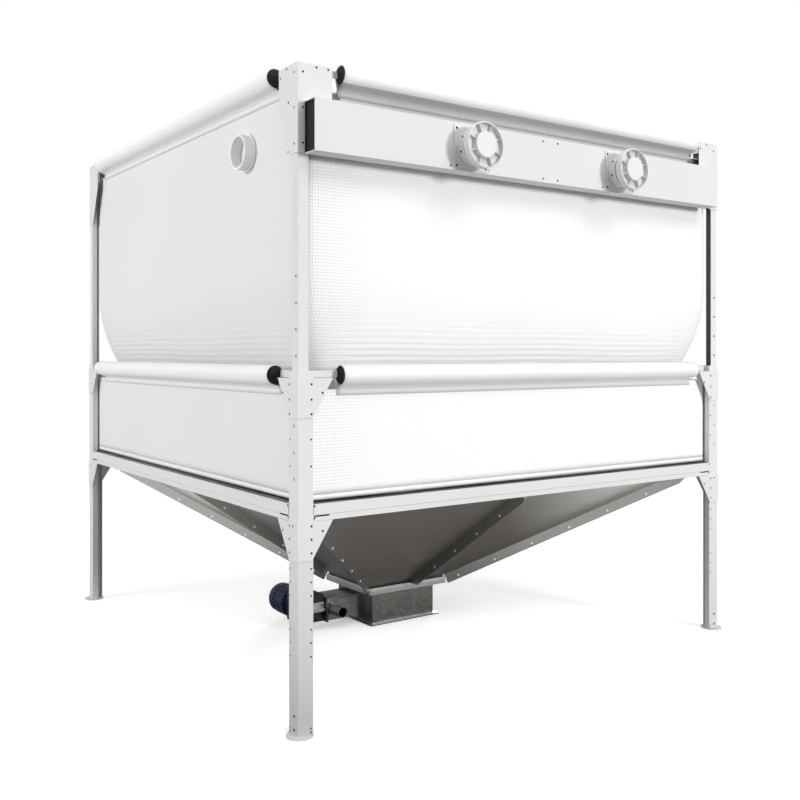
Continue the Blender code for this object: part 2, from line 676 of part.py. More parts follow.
def hopper_sheet(name, turn, hand, half_across, half_out, flange_stop):
    # Half of one side, drawn for the front: hand -1 is its left half, seen from outside.
    top_half, top_z, low_z = HOPPER_TOP_HALF, HOPPER_TOP_Z, HOPPER_BOTTOM_Z
    rise = top_z - low_z
    run = top_half - half_out
    hip_plan = Vector((top_half - half_across, top_half - half_out))
    side_slope = math.atan2(rise, run)
    hip_slope = math.atan2(rise, hip_plan.length)

    def on_sheet(across, out):
        return Vector((hand * across, -out, low_z + rise * (out - half_out) / run))

    def on_hip(out):
        share = (out - half_out) / run
        return on_sheet(half_across + hip_plan.x * share - HOPPER_SEAM, out)

    rim_end = BEAM_HALF_LENGTH - HOPPER_RIM_END_GAP
    seam = HOPPER_SEAM / 2
    top_mid, top_end, hip_top = on_sheet(seam, top_half), on_sheet(rim_end, top_half), on_hip(top_half)
    low_mid, hip_low = on_sheet(seam, half_out), on_hip(half_out)
    flange_high = top_half - HOPPER_FLANGE_TOP
    hip_a, hip_b = on_hip(flange_high), on_hip(half_out + HIP_FLANGE_STOP)
    mid_a, mid_b = on_sheet(seam, flange_high), on_sheet(seam, half_out + flange_stop)
    main = [top_mid, top_end, hip_top, hip_a, hip_b, hip_low, low_mid, mid_b, mid_a]

    # Flanges hang square off the sheet from a pointed top. The long seam flanges end over the outlet's lip.
    outward = Vector((0, -1, 0))
    hip_outward = Vector((hand * hip_plan.x, -hip_plan.y, 0)).normalized()
    rim = [top_mid, top_end, top_end + outward * HOPPER_RIM, top_mid + outward * HOPPER_RIM]
    hip_square = hip_outward * math.sin(hip_slope) - Vector((0, 0, math.cos(hip_slope)))
    flange_full = flange_high - HOPPER_FLANGE_TAPER
    hip_flange = [hip_a, hip_b, hip_b + hip_square * HOPPER_FLANGE,
                  on_hip(flange_full) + hip_square * HOPPER_FLANGE]
    mid_square = outward * math.sin(side_slope) - Vector((0, 0, math.cos(side_slope)))
    level_end = outward * HOPPER_FLANGE / math.sin(side_slope)
    mid_end = level_end if flange_stop == MID_FLANGE_STOP else mid_square * HOPPER_FLANGE
    mid_flange = [mid_a, mid_b, mid_b + mid_end, on_sheet(seam, flange_full) + mid_square * HOPPER_FLANGE]
    mitre = Vector((hand * (OUTLET_RIM - OUTLET_CORNER_GAP), -OUTLET_RIM, 0))
    outlet_mid, outlet_hip = low_mid + outward * OUTLET_RIM, hip_low + mitre
    outlet_rim = [low_mid, hip_low, outlet_hip, outlet_mid]
    lip_up = Vector((0, 0, OUTLET_LIP))
    outlet_lip = [outlet_mid, outlet_hip, outlet_hip + lip_up, outlet_mid + lip_up]
    faces = [main, rim, hip_flange, mid_flange, outlet_rim, outlet_lip]
    sheet = add_object(name, surface_mesh("hopper_sheet", faces, (0, 0, 1)), turn=turn)
    solidify(sheet, HOPPER_SHEET)
    finish(sheet, GALVANISED, STAND)


def build_hopper():
    half_x, half_y = TROUGH_LENGTH / 2, TROUGH_WIDTH / 2
    for side, turn in SIDE_TURNS.items():
        across, out = (half_x, half_y) if turn % 180 == 0 else (half_y, half_x)
        stop = MID_FLANGE_STOP_AT_DRIVE if side == "left" else MID_FLANGE_STOP
        for half, hand in (("a", -1), ("b", 1)):
            hopper_sheet(f"hopper_sheet_{side}_{half}", turn, hand, across, out, stop)


def build_trough():
    # A sheet box, open above and below, with a lipped flange on top and a flat one underneath.
    in_x, in_y = TROUGH_LENGTH / 2 - HOPPER_SHEET, TROUGH_WIDTH / 2 - HOPPER_SHEET
    top_x, top_y = TROUGH_LENGTH / 2 + TROUGH_FLANGE, TROUGH_WIDTH / 2 + TROUGH_FLANGE
    foot_x, foot_y = TROUGH_LENGTH / 2 + TROUGH_FOOT_FLANGE, TROUGH_WIDTH / 2 + TROUGH_FOOT_FLANGE
    low_z = COVER_THICKNESS + FIT
    rings = [rectangle_ring(top_x, top_y, TROUGH_TOP_Z - TROUGH_LIP),
             rectangle_ring(top_x, top_y, TROUGH_TOP_Z),
             rectangle_ring(in_x, in_y, TROUGH_TOP_Z), rectangle_ring(in_x, in_y, low_z),
             rectangle_ring(foot_x, foot_y, low_z)]
    trough = add_object("trough", surface_mesh("trough", ring_faces(rings), (0, -1, 0)))
    solidify(trough, HOPPER_SHEET)
    bore = AUGER_RADIUS + AUGER_BORE_GAP
    inside = TROUGH_LENGTH / 2 - 2 * HOPPER_SHEET
    outside = TROUGH_LENGTH / 2 + 2 * HOPPER_SHEET
    left = cylinder_mesh("trough_bore", bore, (-inside, 0, AUGER_Z), (-outside, 0, AUGER_Z), TURNED_STEPS)
    combine(trough, add_object("trough_bore", left), "DIFFERENCE")
    shaft_hole = AUGER_SHAFT_RADIUS + SHAFT_GAP
    right = cylinder_mesh("trough_bush_hole", shaft_hole, (inside, 0, AUGER_Z), (outside, 0, AUGER_Z),
                          TURNED_STEPS)
    combine(trough, add_object("trough_bush_hole", right), "DIFFERENCE")
    finish(trough, GALVANISED, STAND)
    cover = box_mesh("trough_cover", (-foot_x, -foot_y, 0), (foot_x, foot_y, COVER_THICKNESS))
    finish(add_object("trough_cover", cover), GALVANISED, STAND)


def build_auger():
    # A helical flight wound round a plain shaft that runs from the trough's far wall into the gearbox.
    far_end = TROUGH_LENGTH / 2 + SHAFT_PAST_TROUGH
    drive_end = GEARBOX_RIGHT_X - SHAFT_IN_GEARBOX
    shaft = cylinder_mesh("auger", AUGER_SHAFT_RADIUS, (drive_end, 0, 0), (far_end, 0, 0), TURNED_STEPS)
    auger = add_object("auger", shaft)
    flight_start = PIPE_X + PIPE_RADIUS + AUGER_END_GAP
    flight_end = TROUGH_LENGTH / 2 - HOPPER_SHEET - AUGER_END_GAP
    turns = (flight_end - flight_start) / AUGER_PITCH
    work = bmesh.new()
    inner = work.verts.new((AUGER_SHAFT_RADIUS * 0.8, 0, 0))
    outer = work.verts.new((AUGER_RADIUS, 0, 0))
    work.edges.new((inner, outer))
    flight = add_object("auger_flight", mesh_from_bmesh("auger_flight", work), (flight_start, 0, 0))
    flight.rotation_euler = (0, math.pi / 2, 0)
    wind = flight.modifiers.new("wind", "SCREW")
    wind.angle = 2 * math.pi * turns
    wind.screw_offset = flight_end - flight_start
    wind.steps = round(AUGER_STEPS_PER_TURN * turns)
    wind.render_steps = wind.steps
    plate = flight.modifiers.new("plate", "SOLIDIFY")
    plate.thickness = AUGER_FLIGHT
    plate.offset = 0
    flight.parent = AUGER_AXIS
    combine(auger, flight, "UNION")
    finish(auger, GALVANISED, AUGER_AXIS, smooth=True)


def build_pickup_box():
    # A closed channel round the auger's end, with the suction pipe welded to its front
    # and an end plate that carries the drive.
    half = CHANNEL_WIDTH / 2
    wall = HOPPER_SHEET
    top = CHANNEL_BOTTOM_Z + CHANNEL_HEIGHT
    low, high = (CHANNEL_LEFT_X, -half, CHANNEL_BOTTOM_Z), (CHANNEL_RIGHT_X, half, top)
    box = add_object("pickup_box", box_mesh("pickup_box", low, high))
    plate_half = END_PLATE_WIDTH / 2
    plate_low = (END_PLATE_X, -plate_half, CHANNEL_BOTTOM_Z - wall / 2)
    plate_high = (CHANNEL_LEFT_X + wall / 2, plate_half, top + END_PLATE_ABOVE)
    combine(box, add_object("end_plate", box_mesh("end_plate", plate_low, plate_high)), "UNION")
    pipe_end = -half - PIPE_LENGTH
    pipe = cylinder_mesh("suction_pipe", PIPE_RADIUS, (PIPE_X, pipe_end, AUGER_Z),
                         (PIPE_X, -half + wall / 2, AUGER_Z), TURNED_STEPS)
    combine(box, add_object("suction_pipe", pipe), "UNION")
    hollow_low = (CHANNEL_LEFT_X + wall, -half + wall, CHANNEL_BOTTOM_Z + wall)
    hollow_high = (CHANNEL_RIGHT_X - wall, half - wall, top - wall)
    hollow = box_mesh("channel_hollow", hollow_low, hollow_high)
    combine(box, add_object("channel_hollow", hollow), "DIFFERENCE")
    bore = PIPE_RADIUS - PIPE_WALL
    pipe_bore = cylinder_mesh("pipe_bore", bore, (PIPE_X, pipe_end - wall, AUGER_Z),
                              (PIPE_X, -half + 2 * wall, AUGER_Z), TURNED_STEPS)
    combine(box, add_object("pipe_bore", pipe_bore), "DIFFERENCE")
    mouth = AUGER_RADIUS + AUGER_BORE_GAP
    mouth_bore = cylinder_mesh("channel_mouth", mouth, (CHANNEL_RIGHT_X - 2 * wall, 0, AUGER_Z),
                               (CHANNEL_RIGHT_X + wall, 0, AUGER_Z), TURNED_STEPS)
    combine(box, add_object("channel_mouth", mouth_bore), "DIFFERENCE")
    hole = AUGER_SHAFT_RADIUS + SHAFT_GAP
    shaft_hole = cylinder_mesh("end_plate_hole", hole, (END_PLATE_X - wall, 0, AUGER_Z),
                               (CHANNEL_LEFT_X + 2 * wall, 0, AUGER_Z), TURNED_STEPS)
    combine(box, add_object("end_plate_hole", shaft_hole), "DIFFERENCE")
    finish(box, GALVANISED, STAND)


def build_drive():
    # A gearbox on the end plate, with the motor across the auger's axis.
    half = GEARBOX_WIDTH / 2
    low = (GEARBOX_RIGHT_X - GEARBOX_LENGTH, -half, GEARBOX_BOTTOM_Z)
    high = (GEARBOX_RIGHT_X, half, GEARBOX_BOTTOM_Z + GEARBOX_HEIGHT)
    gearbox = add_object("gearbox", box_mesh("gearbox", low, high))
    bevel = gearbox.modifiers.new("casting_edges", "BEVEL")
    bevel.width = GEARBOX_BEVEL
    bevel.segments = 2
    bore = AUGER_SHAFT_RADIUS + SHAFT_GAP
    depth = GEARBOX_RIGHT_X - SHAFT_IN_GEARBOX - SHEET
    face = GEARBOX_RIGHT_X + SHEET
    shaft_bore = cylinder_mesh("gearbox_bore", bore, (depth, 0, AUGER_Z), (face, 0, AUGER_Z), TURNED_STEPS)
    combine(gearbox, add_object("gearbox_bore", shaft_bore), "DIFFERENCE")
    finish(gearbox, DARK_CASTING, STAND)

    start = half + FIT
    body_start = start + MOTOR_FLANGE_LENGTH
    body_end = body_start + MOTOR_LENGTH
    outline = []
    for fin in range(MOTOR_FINS):
        for share, radius in ((-0.28, MOTOR_RADIUS - MOTOR_FIN_DEPTH), (-0.18, MOTOR_RADIUS),
                              (0.18, MOTOR_RADIUS), (0.28, MOTOR_RADIUS - MOTOR_FIN_DEPTH)):
            angle = 2 * math.pi * (fin + share) / MOTOR_FINS
            outline.append((radius * math.cos(angle), radius * math.sin(angle)))
    middle = Matrix.Translation((MOTOR_X, (body_start + body_end) / 2, MOTOR_Z)) @ FACING_FRONT
    motor = add_object("motor", outline_mesh("motor", [outline], MOTOR_LENGTH, middle))
    flange = cylinder_mesh("motor_flange", MOTOR_FLANGE_RADIUS, (MOTOR_X, start, MOTOR_Z),
                           (MOTOR_X, body_start + SHEET, MOTOR_Z), TURNED_STEPS)
    combine(motor, add_object("motor_flange", flange), "UNION")
    cowl_end = body_end + MOTOR_COWL_LENGTH
    cowl_radius = MOTOR_RADIUS - MOTOR_FIN_DEPTH / 3
    rounding = MOTOR_COWL_ROUND
    cowl_profile = [(0, cowl_end), (cowl_radius - rounding, cowl_end),
                    (cowl_radius - rounding * 0.3, cowl_end - rounding * 0.3),
                    (cowl_radius, cowl_end - rounding), (cowl_radius, body_end - SHEET),
                    (0, body_end - SHEET)]
    cowl = turned("motor_cowl", cowl_profile, TURN_TO_BACK)
    cowl.location = (MOTOR_X, 0, MOTOR_Z)
    combine(motor, cowl, "UNION")
    finish(motor, NAVY_ENAMEL, STAND)


def coupling_places():
    middle = (FASCIA_LEFT_X + FASCIA_RIGHT_X) / 2
    return [middle - COUPLING_SPACING / 2, middle + COUPLING_SPACING / 2]


def build_fascia():
    # A channel across the front, open to the back, that the filler pipes pass through.
    back = HEAD_OUT + FIT
    profile = [(back, FASCIA_TOP_Z), (FASCIA_FRONT, FASCIA_TOP_Z), (FASCIA_FRONT, FASCIA_BOTTOM_Z),
               (back, FASCIA_BOTTOM_Z)]
    faces = strip_faces(profile, lambda p, x: (x, -p[0], p[1]), FASCIA_LEFT_X, FASCIA_RIGHT_X)
    fascia = add_object("fascia", surface_mesh("fascia", faces, (0, 0, 1)))
    solidify(fascia, SHEET)
    work = bmesh.new()
    for x in coupling_places():
        hole = FILLER_RADIUS + FILLER_HOLE_GAP
        outside, inside = (x, -FASCIA_FRONT - SHEET, COUPLING_Z), (x, -back, COUPLING_Z)
        cylinder_into(work, hole, outside, inside, TURNED_STEPS)
    combine(fascia, add_object("fascia_holes", mesh_from_bmesh("fascia_holes", work)), "DIFFERENCE")
    finish(fascia, PAINTED, UPPER_FRAME)


def build_coupling(hand, x):
    # Filler pipe with its flange plate, and a blind cap: a sealing disc under a ribbed turning cap.
    axis = new_empty(f"coupling_axis_{hand}", (x, 0, COUPLING_Z), UPPER_FRAME)
    inner_end = CLOTH_HALF - FILLER_INSIDE_BAG
    plate_back = FASCIA_FRONT + FIT
    collar_end = plate_back + COUPLING_PLATE_THICKNESS + COLLAR_LENGTH
    bore = FILLER_RADIUS - FILLER_WALL
    profile = [(FILLER_RADIUS, NECK_END), (FILLER_RADIUS, collar_end), (COLLAR_RADIUS, collar_end),
               (COLLAR_RADIUS, plate_back + COUPLING_PLATE_THICKNESS / 2),
               (FILLER_RADIUS, plate_back + COUPLING_PLATE_THICKNESS / 2),
               (FILLER_RADIUS, inner_end), (bore, inner_end), (bore, NECK_END)]
    pipe = turned(f"filler_pipe_{hand}", profile, TURN_TO_FRONT)
    half = COUPLING_PLATE / 2
    square = [(-half, -half), (half, -half), (half, half), (-half, half)]
    hole = circle(FILLER_RADIUS - FILLER_WALL / 2, TURNED_STEPS)
    stand_off = Matrix.Translation((0, -plate_back - COUPLING_PLATE_THICKNESS / 2, 0)) @ FACING_FRONT
    plate = add_object(f"coupling_plate_{hand}",
                       outline_mesh("coupling_plate", [square, hole], COUPLING_PLATE_THICKNESS, stand_off))
    plate.parent = axis
    combine(pipe, plate, "UNION")
    finish(pipe, CAST_ALLOY, axis, smooth=True)

    disc_back = NECK_END + FIT
    disc_front = disc_back + DISC_THICKNESS
    boss = bore - DISC_BOSS_GAP
    boss_end = disc_back - DISC_BOSS_DEPTH
    disc_profile = [(0, disc_front), (DISC_RADIUS, disc_front), (DISC_RADIUS, disc_back), (boss, disc_back),
                    (boss, boss_end), (0, boss_end)]
    disc = turned(f"sealing_disc_{hand}", disc_profile, TURN_TO_FRONT)
    finish(disc, CAST_ALLOY, axis, smooth=True)

    web_back = disc_front + CAP_RUN_GAP
    web_front = web_back + CAP_WEB
    front = web_front + CAP_HUB_HEIGHT
    rim = CAP_RADIUS - CAP_RIM_WIDTH
    edge = CAP_EDGE
    back = web_back - CAP_SKIRT
    cap_profile = [(0, front), (CAP_HUB_RADIUS - edge, front), (CAP_HUB_RADIUS, front - edge),
                   (CAP_HUB_RADIUS, web_front), (rim, web_front), (rim, front - edge),
                   (CAP_RADIUS - edge, front - edge), (CAP_RADIUS, front - 2 * edge), (CAP_RADIUS, back),
                   (CAP_BORE_RADIUS, back),
                   (CAP_BORE_RADIUS, web_back), (0, web_back)]
    cap = turned(f"turning_cap_{hand}", cap_profile, TURN_TO_FRONT)
    work = bmesh.new()
    for rib in range(CAP_RIBS):
        turn = Matrix.Rotation(2 * math.pi * (rib + 0.5) / CAP_RIBS, 4, "Y")
        low = Vector((CAP_HUB_RADIUS - edge, -front + edge + CAP_RIB_BELOW_RIM, -CAP_RIB_WIDTH / 2))
        high = Vector((rim + edge, -web_front + edge, CAP_RIB_WIDTH / 2))
        size = Matrix.Diagonal((*(high - low), 1))
        bmesh.ops.create_cube(work, size=1, matrix=turn @ Matrix.Translation((low + high) / 2) @ size)
    ribs = add_object(f"cap_ribs_{hand}", mesh_from_bmesh("cap_ribs", work))
    ribs.parent = axis
    combine(cap, ribs, "UNION")
    finish(cap, CAST_ALLOY, axis, smooth=True)


def build_port_collar():
    # A plain ring with a sewn-on foot, standing on the left wall of the bag.
    base = CLOTH_HALF + FIT
    front = base + PORT_REACH
    bore = PORT_RADIUS - PORT_WALL
    profile = [(PORT_RADIUS, front), (PORT_RADIUS, base + PORT_FOOT), (PORT_FOOT_RADIUS, base + PORT_FOOT),
               (PORT_FOOT_RADIUS, base), (bore, base), (bore, front)]
    collar = turned("port_collar", profile, TURN_TO_LEFT)
    collar.location = (0, -HALF + PORT_FROM_CORNER, TOP_RAIL_Z - PORT_BELOW_RAIL)
    finish(collar, WHITE_PLASTIC, UPPER_FRAME, smooth=True)


def build_tank():
    build_posts()
    build_feet()
    build_brackets()
    build_rails("mid", MID_RAIL_Z, LOWER_OUT - LOWER_LEG, STAND)
    build_rails("top", TOP_RAIL_Z, UPPER_OUT - UPPER_LEG, UPPER_FRAME)
    build_beams()
    build_bag()
    build_skirt()
    build_hopper()
    build_trough()
    build_auger()
    build_pickup_box()
    build_drive()
    build_fascia()
    for hand, x in zip(("left", "right"), coupling_places()):
        build_coupling(hand, x)
    build_port_collar()


build_tank()
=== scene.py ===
import math

import bmesh
import bpy
from mathutils import Matrix, Vector, noise


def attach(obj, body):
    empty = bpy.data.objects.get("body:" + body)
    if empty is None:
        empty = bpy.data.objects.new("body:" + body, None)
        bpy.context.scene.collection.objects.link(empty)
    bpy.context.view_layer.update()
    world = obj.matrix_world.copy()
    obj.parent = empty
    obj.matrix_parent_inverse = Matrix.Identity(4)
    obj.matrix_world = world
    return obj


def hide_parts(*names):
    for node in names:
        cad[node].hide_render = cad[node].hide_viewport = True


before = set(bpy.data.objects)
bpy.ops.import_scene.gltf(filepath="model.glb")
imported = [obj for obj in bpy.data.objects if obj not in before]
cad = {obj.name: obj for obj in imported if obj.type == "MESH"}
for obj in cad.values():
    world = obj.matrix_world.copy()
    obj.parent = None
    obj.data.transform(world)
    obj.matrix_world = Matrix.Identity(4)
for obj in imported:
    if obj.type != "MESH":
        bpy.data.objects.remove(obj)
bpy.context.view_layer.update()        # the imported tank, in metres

scene = bpy.context.scene
tankHalf = 1.05
quarters = ((-1, -1), (-1, 1), (1, -1), (1, 1))
sideTurns = {"Front": 0, "Right": 90, "Back": 180, "Left": 270}
cornerTurns = {"FrontLeft": 0, "FrontRight": 90, "BackRight": 180, "BackLeft": 270}
print("tank loaded with", len(cad), "solids")


# camera at the photograph's angle
cameraSet = {"place": (-2.5005, -3.6608, 1.2051), "turn": 35.207, "lens": 42.867, "sensor": 36, "shift": -0.0589}


def setCamera():
    view = bpy.data.cameras.new("tankView")
    view.lens, view.sensor_width, view.shift_y = cameraSet["lens"], cameraSet["sensor"], cameraSet["shift"]
    camera = bpy.data.objects.new("tankView", view)
    camera.location = cameraSet["place"]
    camera.rotation_euler = (math.radians(90), 0, math.radians(-cameraSet["turn"]))
    scene.collection.objects.link(camera)
    scene.camera = camera


# node helpers: put a node down, feed its sockets with values or other outputs
def put(tree, kind, settings=None, feeds=None):
    node = tree.nodes.new("ShaderNode" + kind)
    for key, value in (settings or {}).items():
        setattr(node, key, value)
    for socket, value in (feeds or {}).items():
        if isinstance(value, bpy.types.NodeSocket):
            tree.links.new(value, node.inputs[socket])
        else:
            node.inputs[socket].default_value = value
    return node


def calc(tree, operation, first, second=0.0, third=0.0):
    return put(tree, "Math", {"operation": operation}, {0: first, 1: second, 2: third}).outputs[0]


def times(tree, first, second):
    return calc(tree, "MULTIPLY", first, second)


def vector(tree, operation, first, second=(0, 0, 0), result="Vector"):
    return put(tree, "VectorMath", {"operation": operation}, {0: first, 1: second}).outputs[result]


def parted(tree, value):
    return put(tree, "SeparateXYZ", None, {0: value}).outputs


def objectPlace(tree):
    return put(tree, "TexCoord").outputs["Object"]


def faceNormal(tree):
    return put(tree, "NewGeometry").outputs["Normal"]


def speckle(tree, place, scale, detail):
    return put(tree, "TexNoise", None, {"Vector": place, "Scale": scale, "Detail": detail}).outputs["Fac"]


def blendColour(tree, factor, first, second):
    return put(tree, "Mix", {"data_type": "RGBA"}, {0: factor, 6: first, 7: second}).outputs[2]


def tint(tree, colour, over, mask, share):
    return blendColour(tree, times(tree, mask, share), colour, over)


def spread(tree, value, low, high, fromLow=0.0, fromHigh=1.0):
    feeds = {"Value": value, "From Min": fromLow, "From Max": fromHigh, "To Min": low, "To Max": high}
    return put(tree, "MapRange", {"clamp": True}, feeds).outputs["Result"]


def newGroup(name, inputs, outputs):
    tree = bpy.data.node_groups.new(name, "ShaderNodeTree")
    for label, value in inputs.items():
        socket = tree.interface.new_socket(label, in_out="INPUT", socket_type="NodeSocketFloat")
        socket.default_value = value
    for label, kind in outputs.items():
        tree.interface.new_socket(label, in_out="OUTPUT", socket_type="NodeSocket" + kind)
    return tree, tree.nodes.new("NodeGroupInput").outputs, tree.nodes.new("NodeGroupOutput")


def sendOut(tree, out, results):
    for label, value in results.items():
        tree.links.new(value, out.inputs[label])
    return tree


def useGroup(tree, group, feeds):
    return put(tree, "Group", {"node_tree": group}, feeds).outputs


# broad colour drift and the fine skin of a painted or cast surface
def makeSkinGroup():
    tree, given, out = newGroup("surfaceSkin", {"Drift Scale": 2.0, "Skin Scale": 900.0},
                                {"Drift": "Float", "Skin": "Float"})
    place = objectPlace(tree)
    return sendOut(tree, out, {"Drift": speckle(tree, place, given["Drift Scale"], 4.0),
                               "Skin": speckle(tree, place, given["Skin Scale"], 2.0)})


# rounded-over folds and where their edges are rubbed
def makeEdgeGroup():
    tree, given, out = newGroup("foldEdge", {"Round": 0.0015, "Break Scale": 60.0},
                                {"Rub": "Float", "Normal": "Vector"})
    rounded = put(tree, "Bevel", {"samples": 4}, {"Radius": given["Round"]}).outputs["Normal"]
    lean = vector(tree, "DOT_PRODUCT", rounded, faceNormal(tree), "Value")
    edge = spread(tree, lean, 1.0, 0.0, 0.80, 0.995)
    broken = spread(tree, speckle(tree, objectPlace(tree), given["Break Scale"], 3.0), 0.0, 1.0, 0.40, 0.65)
    return sendOut(tree, out, {"Rub": times(tree, edge, broken), "Normal": rounded})


# dust that settles on faces that look up
def makeDustGroup():
    tree, given, out = newGroup("settledDust", {"Patch Scale": 7.0}, {"Dust": "Float"})
    upward = spread(tree, parted(tree, faceNormal(tree))["Z"], 0.0, 1.0, 0.30, 0.95)
    patch = spread(tree, speckle(tree, objectPlace(tree), given["Patch Scale"], 6.0), 0.0, 1.0, 0.35, 0.70)
    return sendOut(tree, out, {"Dust": times(tree, upward, patch)})


# square ripstop: lines at a pitch in both directions of the cloth, with the yarns between them
def makeWeaveGroup():
    tree, given, out = newGroup("ripstop", {"Pitch": 0.0105, "Line": 0.16, "Yarn": 0.0011},
                                {"Grid": "Float", "Yarns": "Float"})
    parts = parted(tree, put(tree, "TexCoord").outputs["UV"])
    start = calc(tree, "SUBTRACT", 1.0, given["Line"])
    lines, yarns = [], []
    for axis in ("X", "Y"):
        step = calc(tree, "FRACT", calc(tree, "DIVIDE", parts[axis], given["Pitch"]))
        centre = times(tree, calc(tree, "ABSOLUTE", calc(tree, "SUBTRACT", step, 0.5)), 2.0)
        lines.append(calc(tree, "GREATER_THAN", centre, start))
        turn = times(tree, calc(tree, "DIVIDE", parts[axis], given["Yarn"]), 2 * math.pi)
        yarns.append(calc(tree, "SINE", turn))
    over = calc(tree, "MULTIPLY_ADD", times(tree, yarns[0], yarns[1]), 0.5, 0.5)
    return sendOut(tree, out, {"Grid": calc(tree, "MAXIMUM", lines[0], lines[1]), "Yarns": over})


# zinc flowers of galvanised sheet, with faint rolling streaks
def makeSpangleGroup():
    tree, given, out = newGroup("zincFlower", {"Flower Scale": 85.0, "Streak Scale": 5.0},
                                {"Flower": "Float", "Streak": "Float"})
    place = objectPlace(tree)
    cells = put(tree, "TexVoronoi", None, {"Vector": place, "Scale": given["Flower Scale"]})
    tone = put(tree, "SeparateColor", None, {0: cells.outputs["Color"]}).outputs[0]
    stretched = put(tree, "Mapping", None, {"Vector": place, "Scale": (1.0, 1.0, 9.0)}).outputs["Vector"]
    return sendOut(tree, out, {"Flower": tone, "Streak": speckle(tree, stretched, given["Streak Scale"], 5.0)})


skinGroup, edgeGroup, dustGroup = makeSkinGroup(), makeEdgeGroup(), makeDustGroup()
weaveGroup, spangleGroup = makeWeaveGroup(), makeSpangleGroup()
print("shared effects ready")


def newMaterial(name):
    material = bpy.data.materials.new(name)
    material.use_nodes = True
    tree = material.node_tree
    return material, tree, tree.nodes["Principled BSDF"]


def wire(tree, shader, colour, roughness, normal):
    for socket, value in (("Base Color", colour), ("Roughness", roughness), ("Normal", normal)):
        tree.links.new(value, shader.inputs[socket])


def bumped(tree, strength, distance, height, normal=None):
    feeds = {"Strength": strength, "Distance": distance, "Height": height}
    if normal:
        feeds["Normal"] = normal
    return put(tree, "Bump", None, feeds).outputs["Normal"]


def grey(level, warm=0.0):
    return (level * (1 + warm), level, level * (1 - warm), 1)


# one painted, cast or moulded finish: drift of colour, rubbed edges, dust and a fine skin
def coatedMaterial(name, look):
    material, tree, shader = newMaterial(name)
    skin = useGroup(tree, skinGroup, {"Drift Scale": look["driftScale"], "Skin Scale": look["skinScale"]})
    edge = useGroup(tree, edgeGroup, {"Round": look["round"]})
    dust = useGroup(tree, dustGroup, {})
    colour = blendColour(tree, spread(tree, skin["Drift"], 0.0, 1.0, 0.3, 0.7), look["colour"], look["colour2"])
    colour = tint(tree, colour, look["rubColour"], edge["Rub"], look["rub"])
    colour = tint(tree, colour, look["dustColour"], dust["Dust"], look["dust"])
    if "paintedFootShade" in look:     # painted shade, darkening the parts towards the floor and fading out up the posts
        low = spread(tree, parted(tree, objectPlace(tree))["Z"], look["paintedFootShade"], 0.0, 0.0, look["paintedFootShadeTop"])
        colour = tint(tree, colour, look["paintedFootShadeColour"], low, spread(tree, skin["Drift"], 1.0, 0.6, 0.3, 0.7))
    if "inner" in look:     # painted shade: faces of a fold that look towards the middle of the tank are drawn dark
        level = vector(tree, "MULTIPLY", objectPlace(tree), (1, 1, 0))
        lean = vector(tree, "DOT_PRODUCT", faceNormal(tree), vector(tree, "NORMALIZE", level), "Value")
        colour = blendColour(tree, spread(tree, lean, 1.0, 0.0, -0.6, -0.2), colour, look["inner"])
    shader.inputs["Metallic"].default_value = look.get("metal", 0.0)
    shader.inputs["Specular IOR Level"].default_value = look.get("specular", 0.5)
    roughness = spread(tree, skin["Drift"], *look["roughness"], 0.3, 0.7)
    wire(tree, shader, colour, roughness, bumped(tree, look["bump"], 0.0004, skin["Skin"], edge["Normal"]))
    return material


# where the lips of the hopper's outlet stand, and how near counts as on them
lipSet = {"X": 0.2095, "Y": 0.1845, "near": 0.0028}


# rolled sheet with zinc flowers; the cut and folded edges show brighter
def sheetMaterial(name, look):
    material, tree, shader = newMaterial(name)
    zinc = useGroup(tree, spangleGroup, {"Flower Scale": look["flowerScale"], "Streak Scale": look["streakScale"]})
    edge = useGroup(tree, edgeGroup, {"Round": look["round"], "Break Scale": 35.0})
    dust = useGroup(tree, dustGroup, {"Patch Scale": 9.0})
    colour = blendColour(tree, zinc["Flower"], look["colour"], look["colour2"])
    streak = spread(tree, zinc["Streak"], 0.0, look["streak"], 0.45, 0.75)
    colour = blendColour(tree, streak, colour, look["streakColour"])
    colour = tint(tree, colour, look["rubColour"], edge["Rub"], look["rub"])
    colour = tint(tree, colour, look["dustColour"], dust["Dust"], 0.5)
    if "flange" in look:     # upright faces, the flanges, are coloured darker than the slopes
        lean = parted(tree, faceNormal(tree))["Z"]
        upright = spread(tree, calc(tree, "ABSOLUTE", lean), 1.0, 0.0, 0.15, 0.35)
        colour = blendColour(tree, upright, colour, look["flange"])
    place = parted(tree, objectPlace(tree))
    walls = [calc(tree, "COMPARE", calc(tree, "ABSOLUTE", place[axis]), lipSet[axis], lipSet["near"])
             for axis in ("X", "Y")]
    lips = calc(tree, "MAXIMUM", walls[0], walls[1])
    for low, high, onLips, tone in look["paintedLightBands"]:     # painted highlights on the lips and foot flanges, painted shade on the rim
        band = calc(tree, "COMPARE", place["Z"], (low + high) / 2, (high - low) / 2)
        band = times(tree, band, lips) if onLips else band
        colour = tint(tree, colour, tone, band, spread(tree, zinc["Streak"], 0.6, 1.0, 0.3, 0.7))
    shader.inputs["Metallic"].default_value = look["metal"]
    roughness = spread(tree, zinc["Flower"], *look["roughness"])
    wire(tree, shader, colour, roughness, bumped(tree, 0.08, 0.0003, zinc["Streak"], edge["Normal"]))
    return material


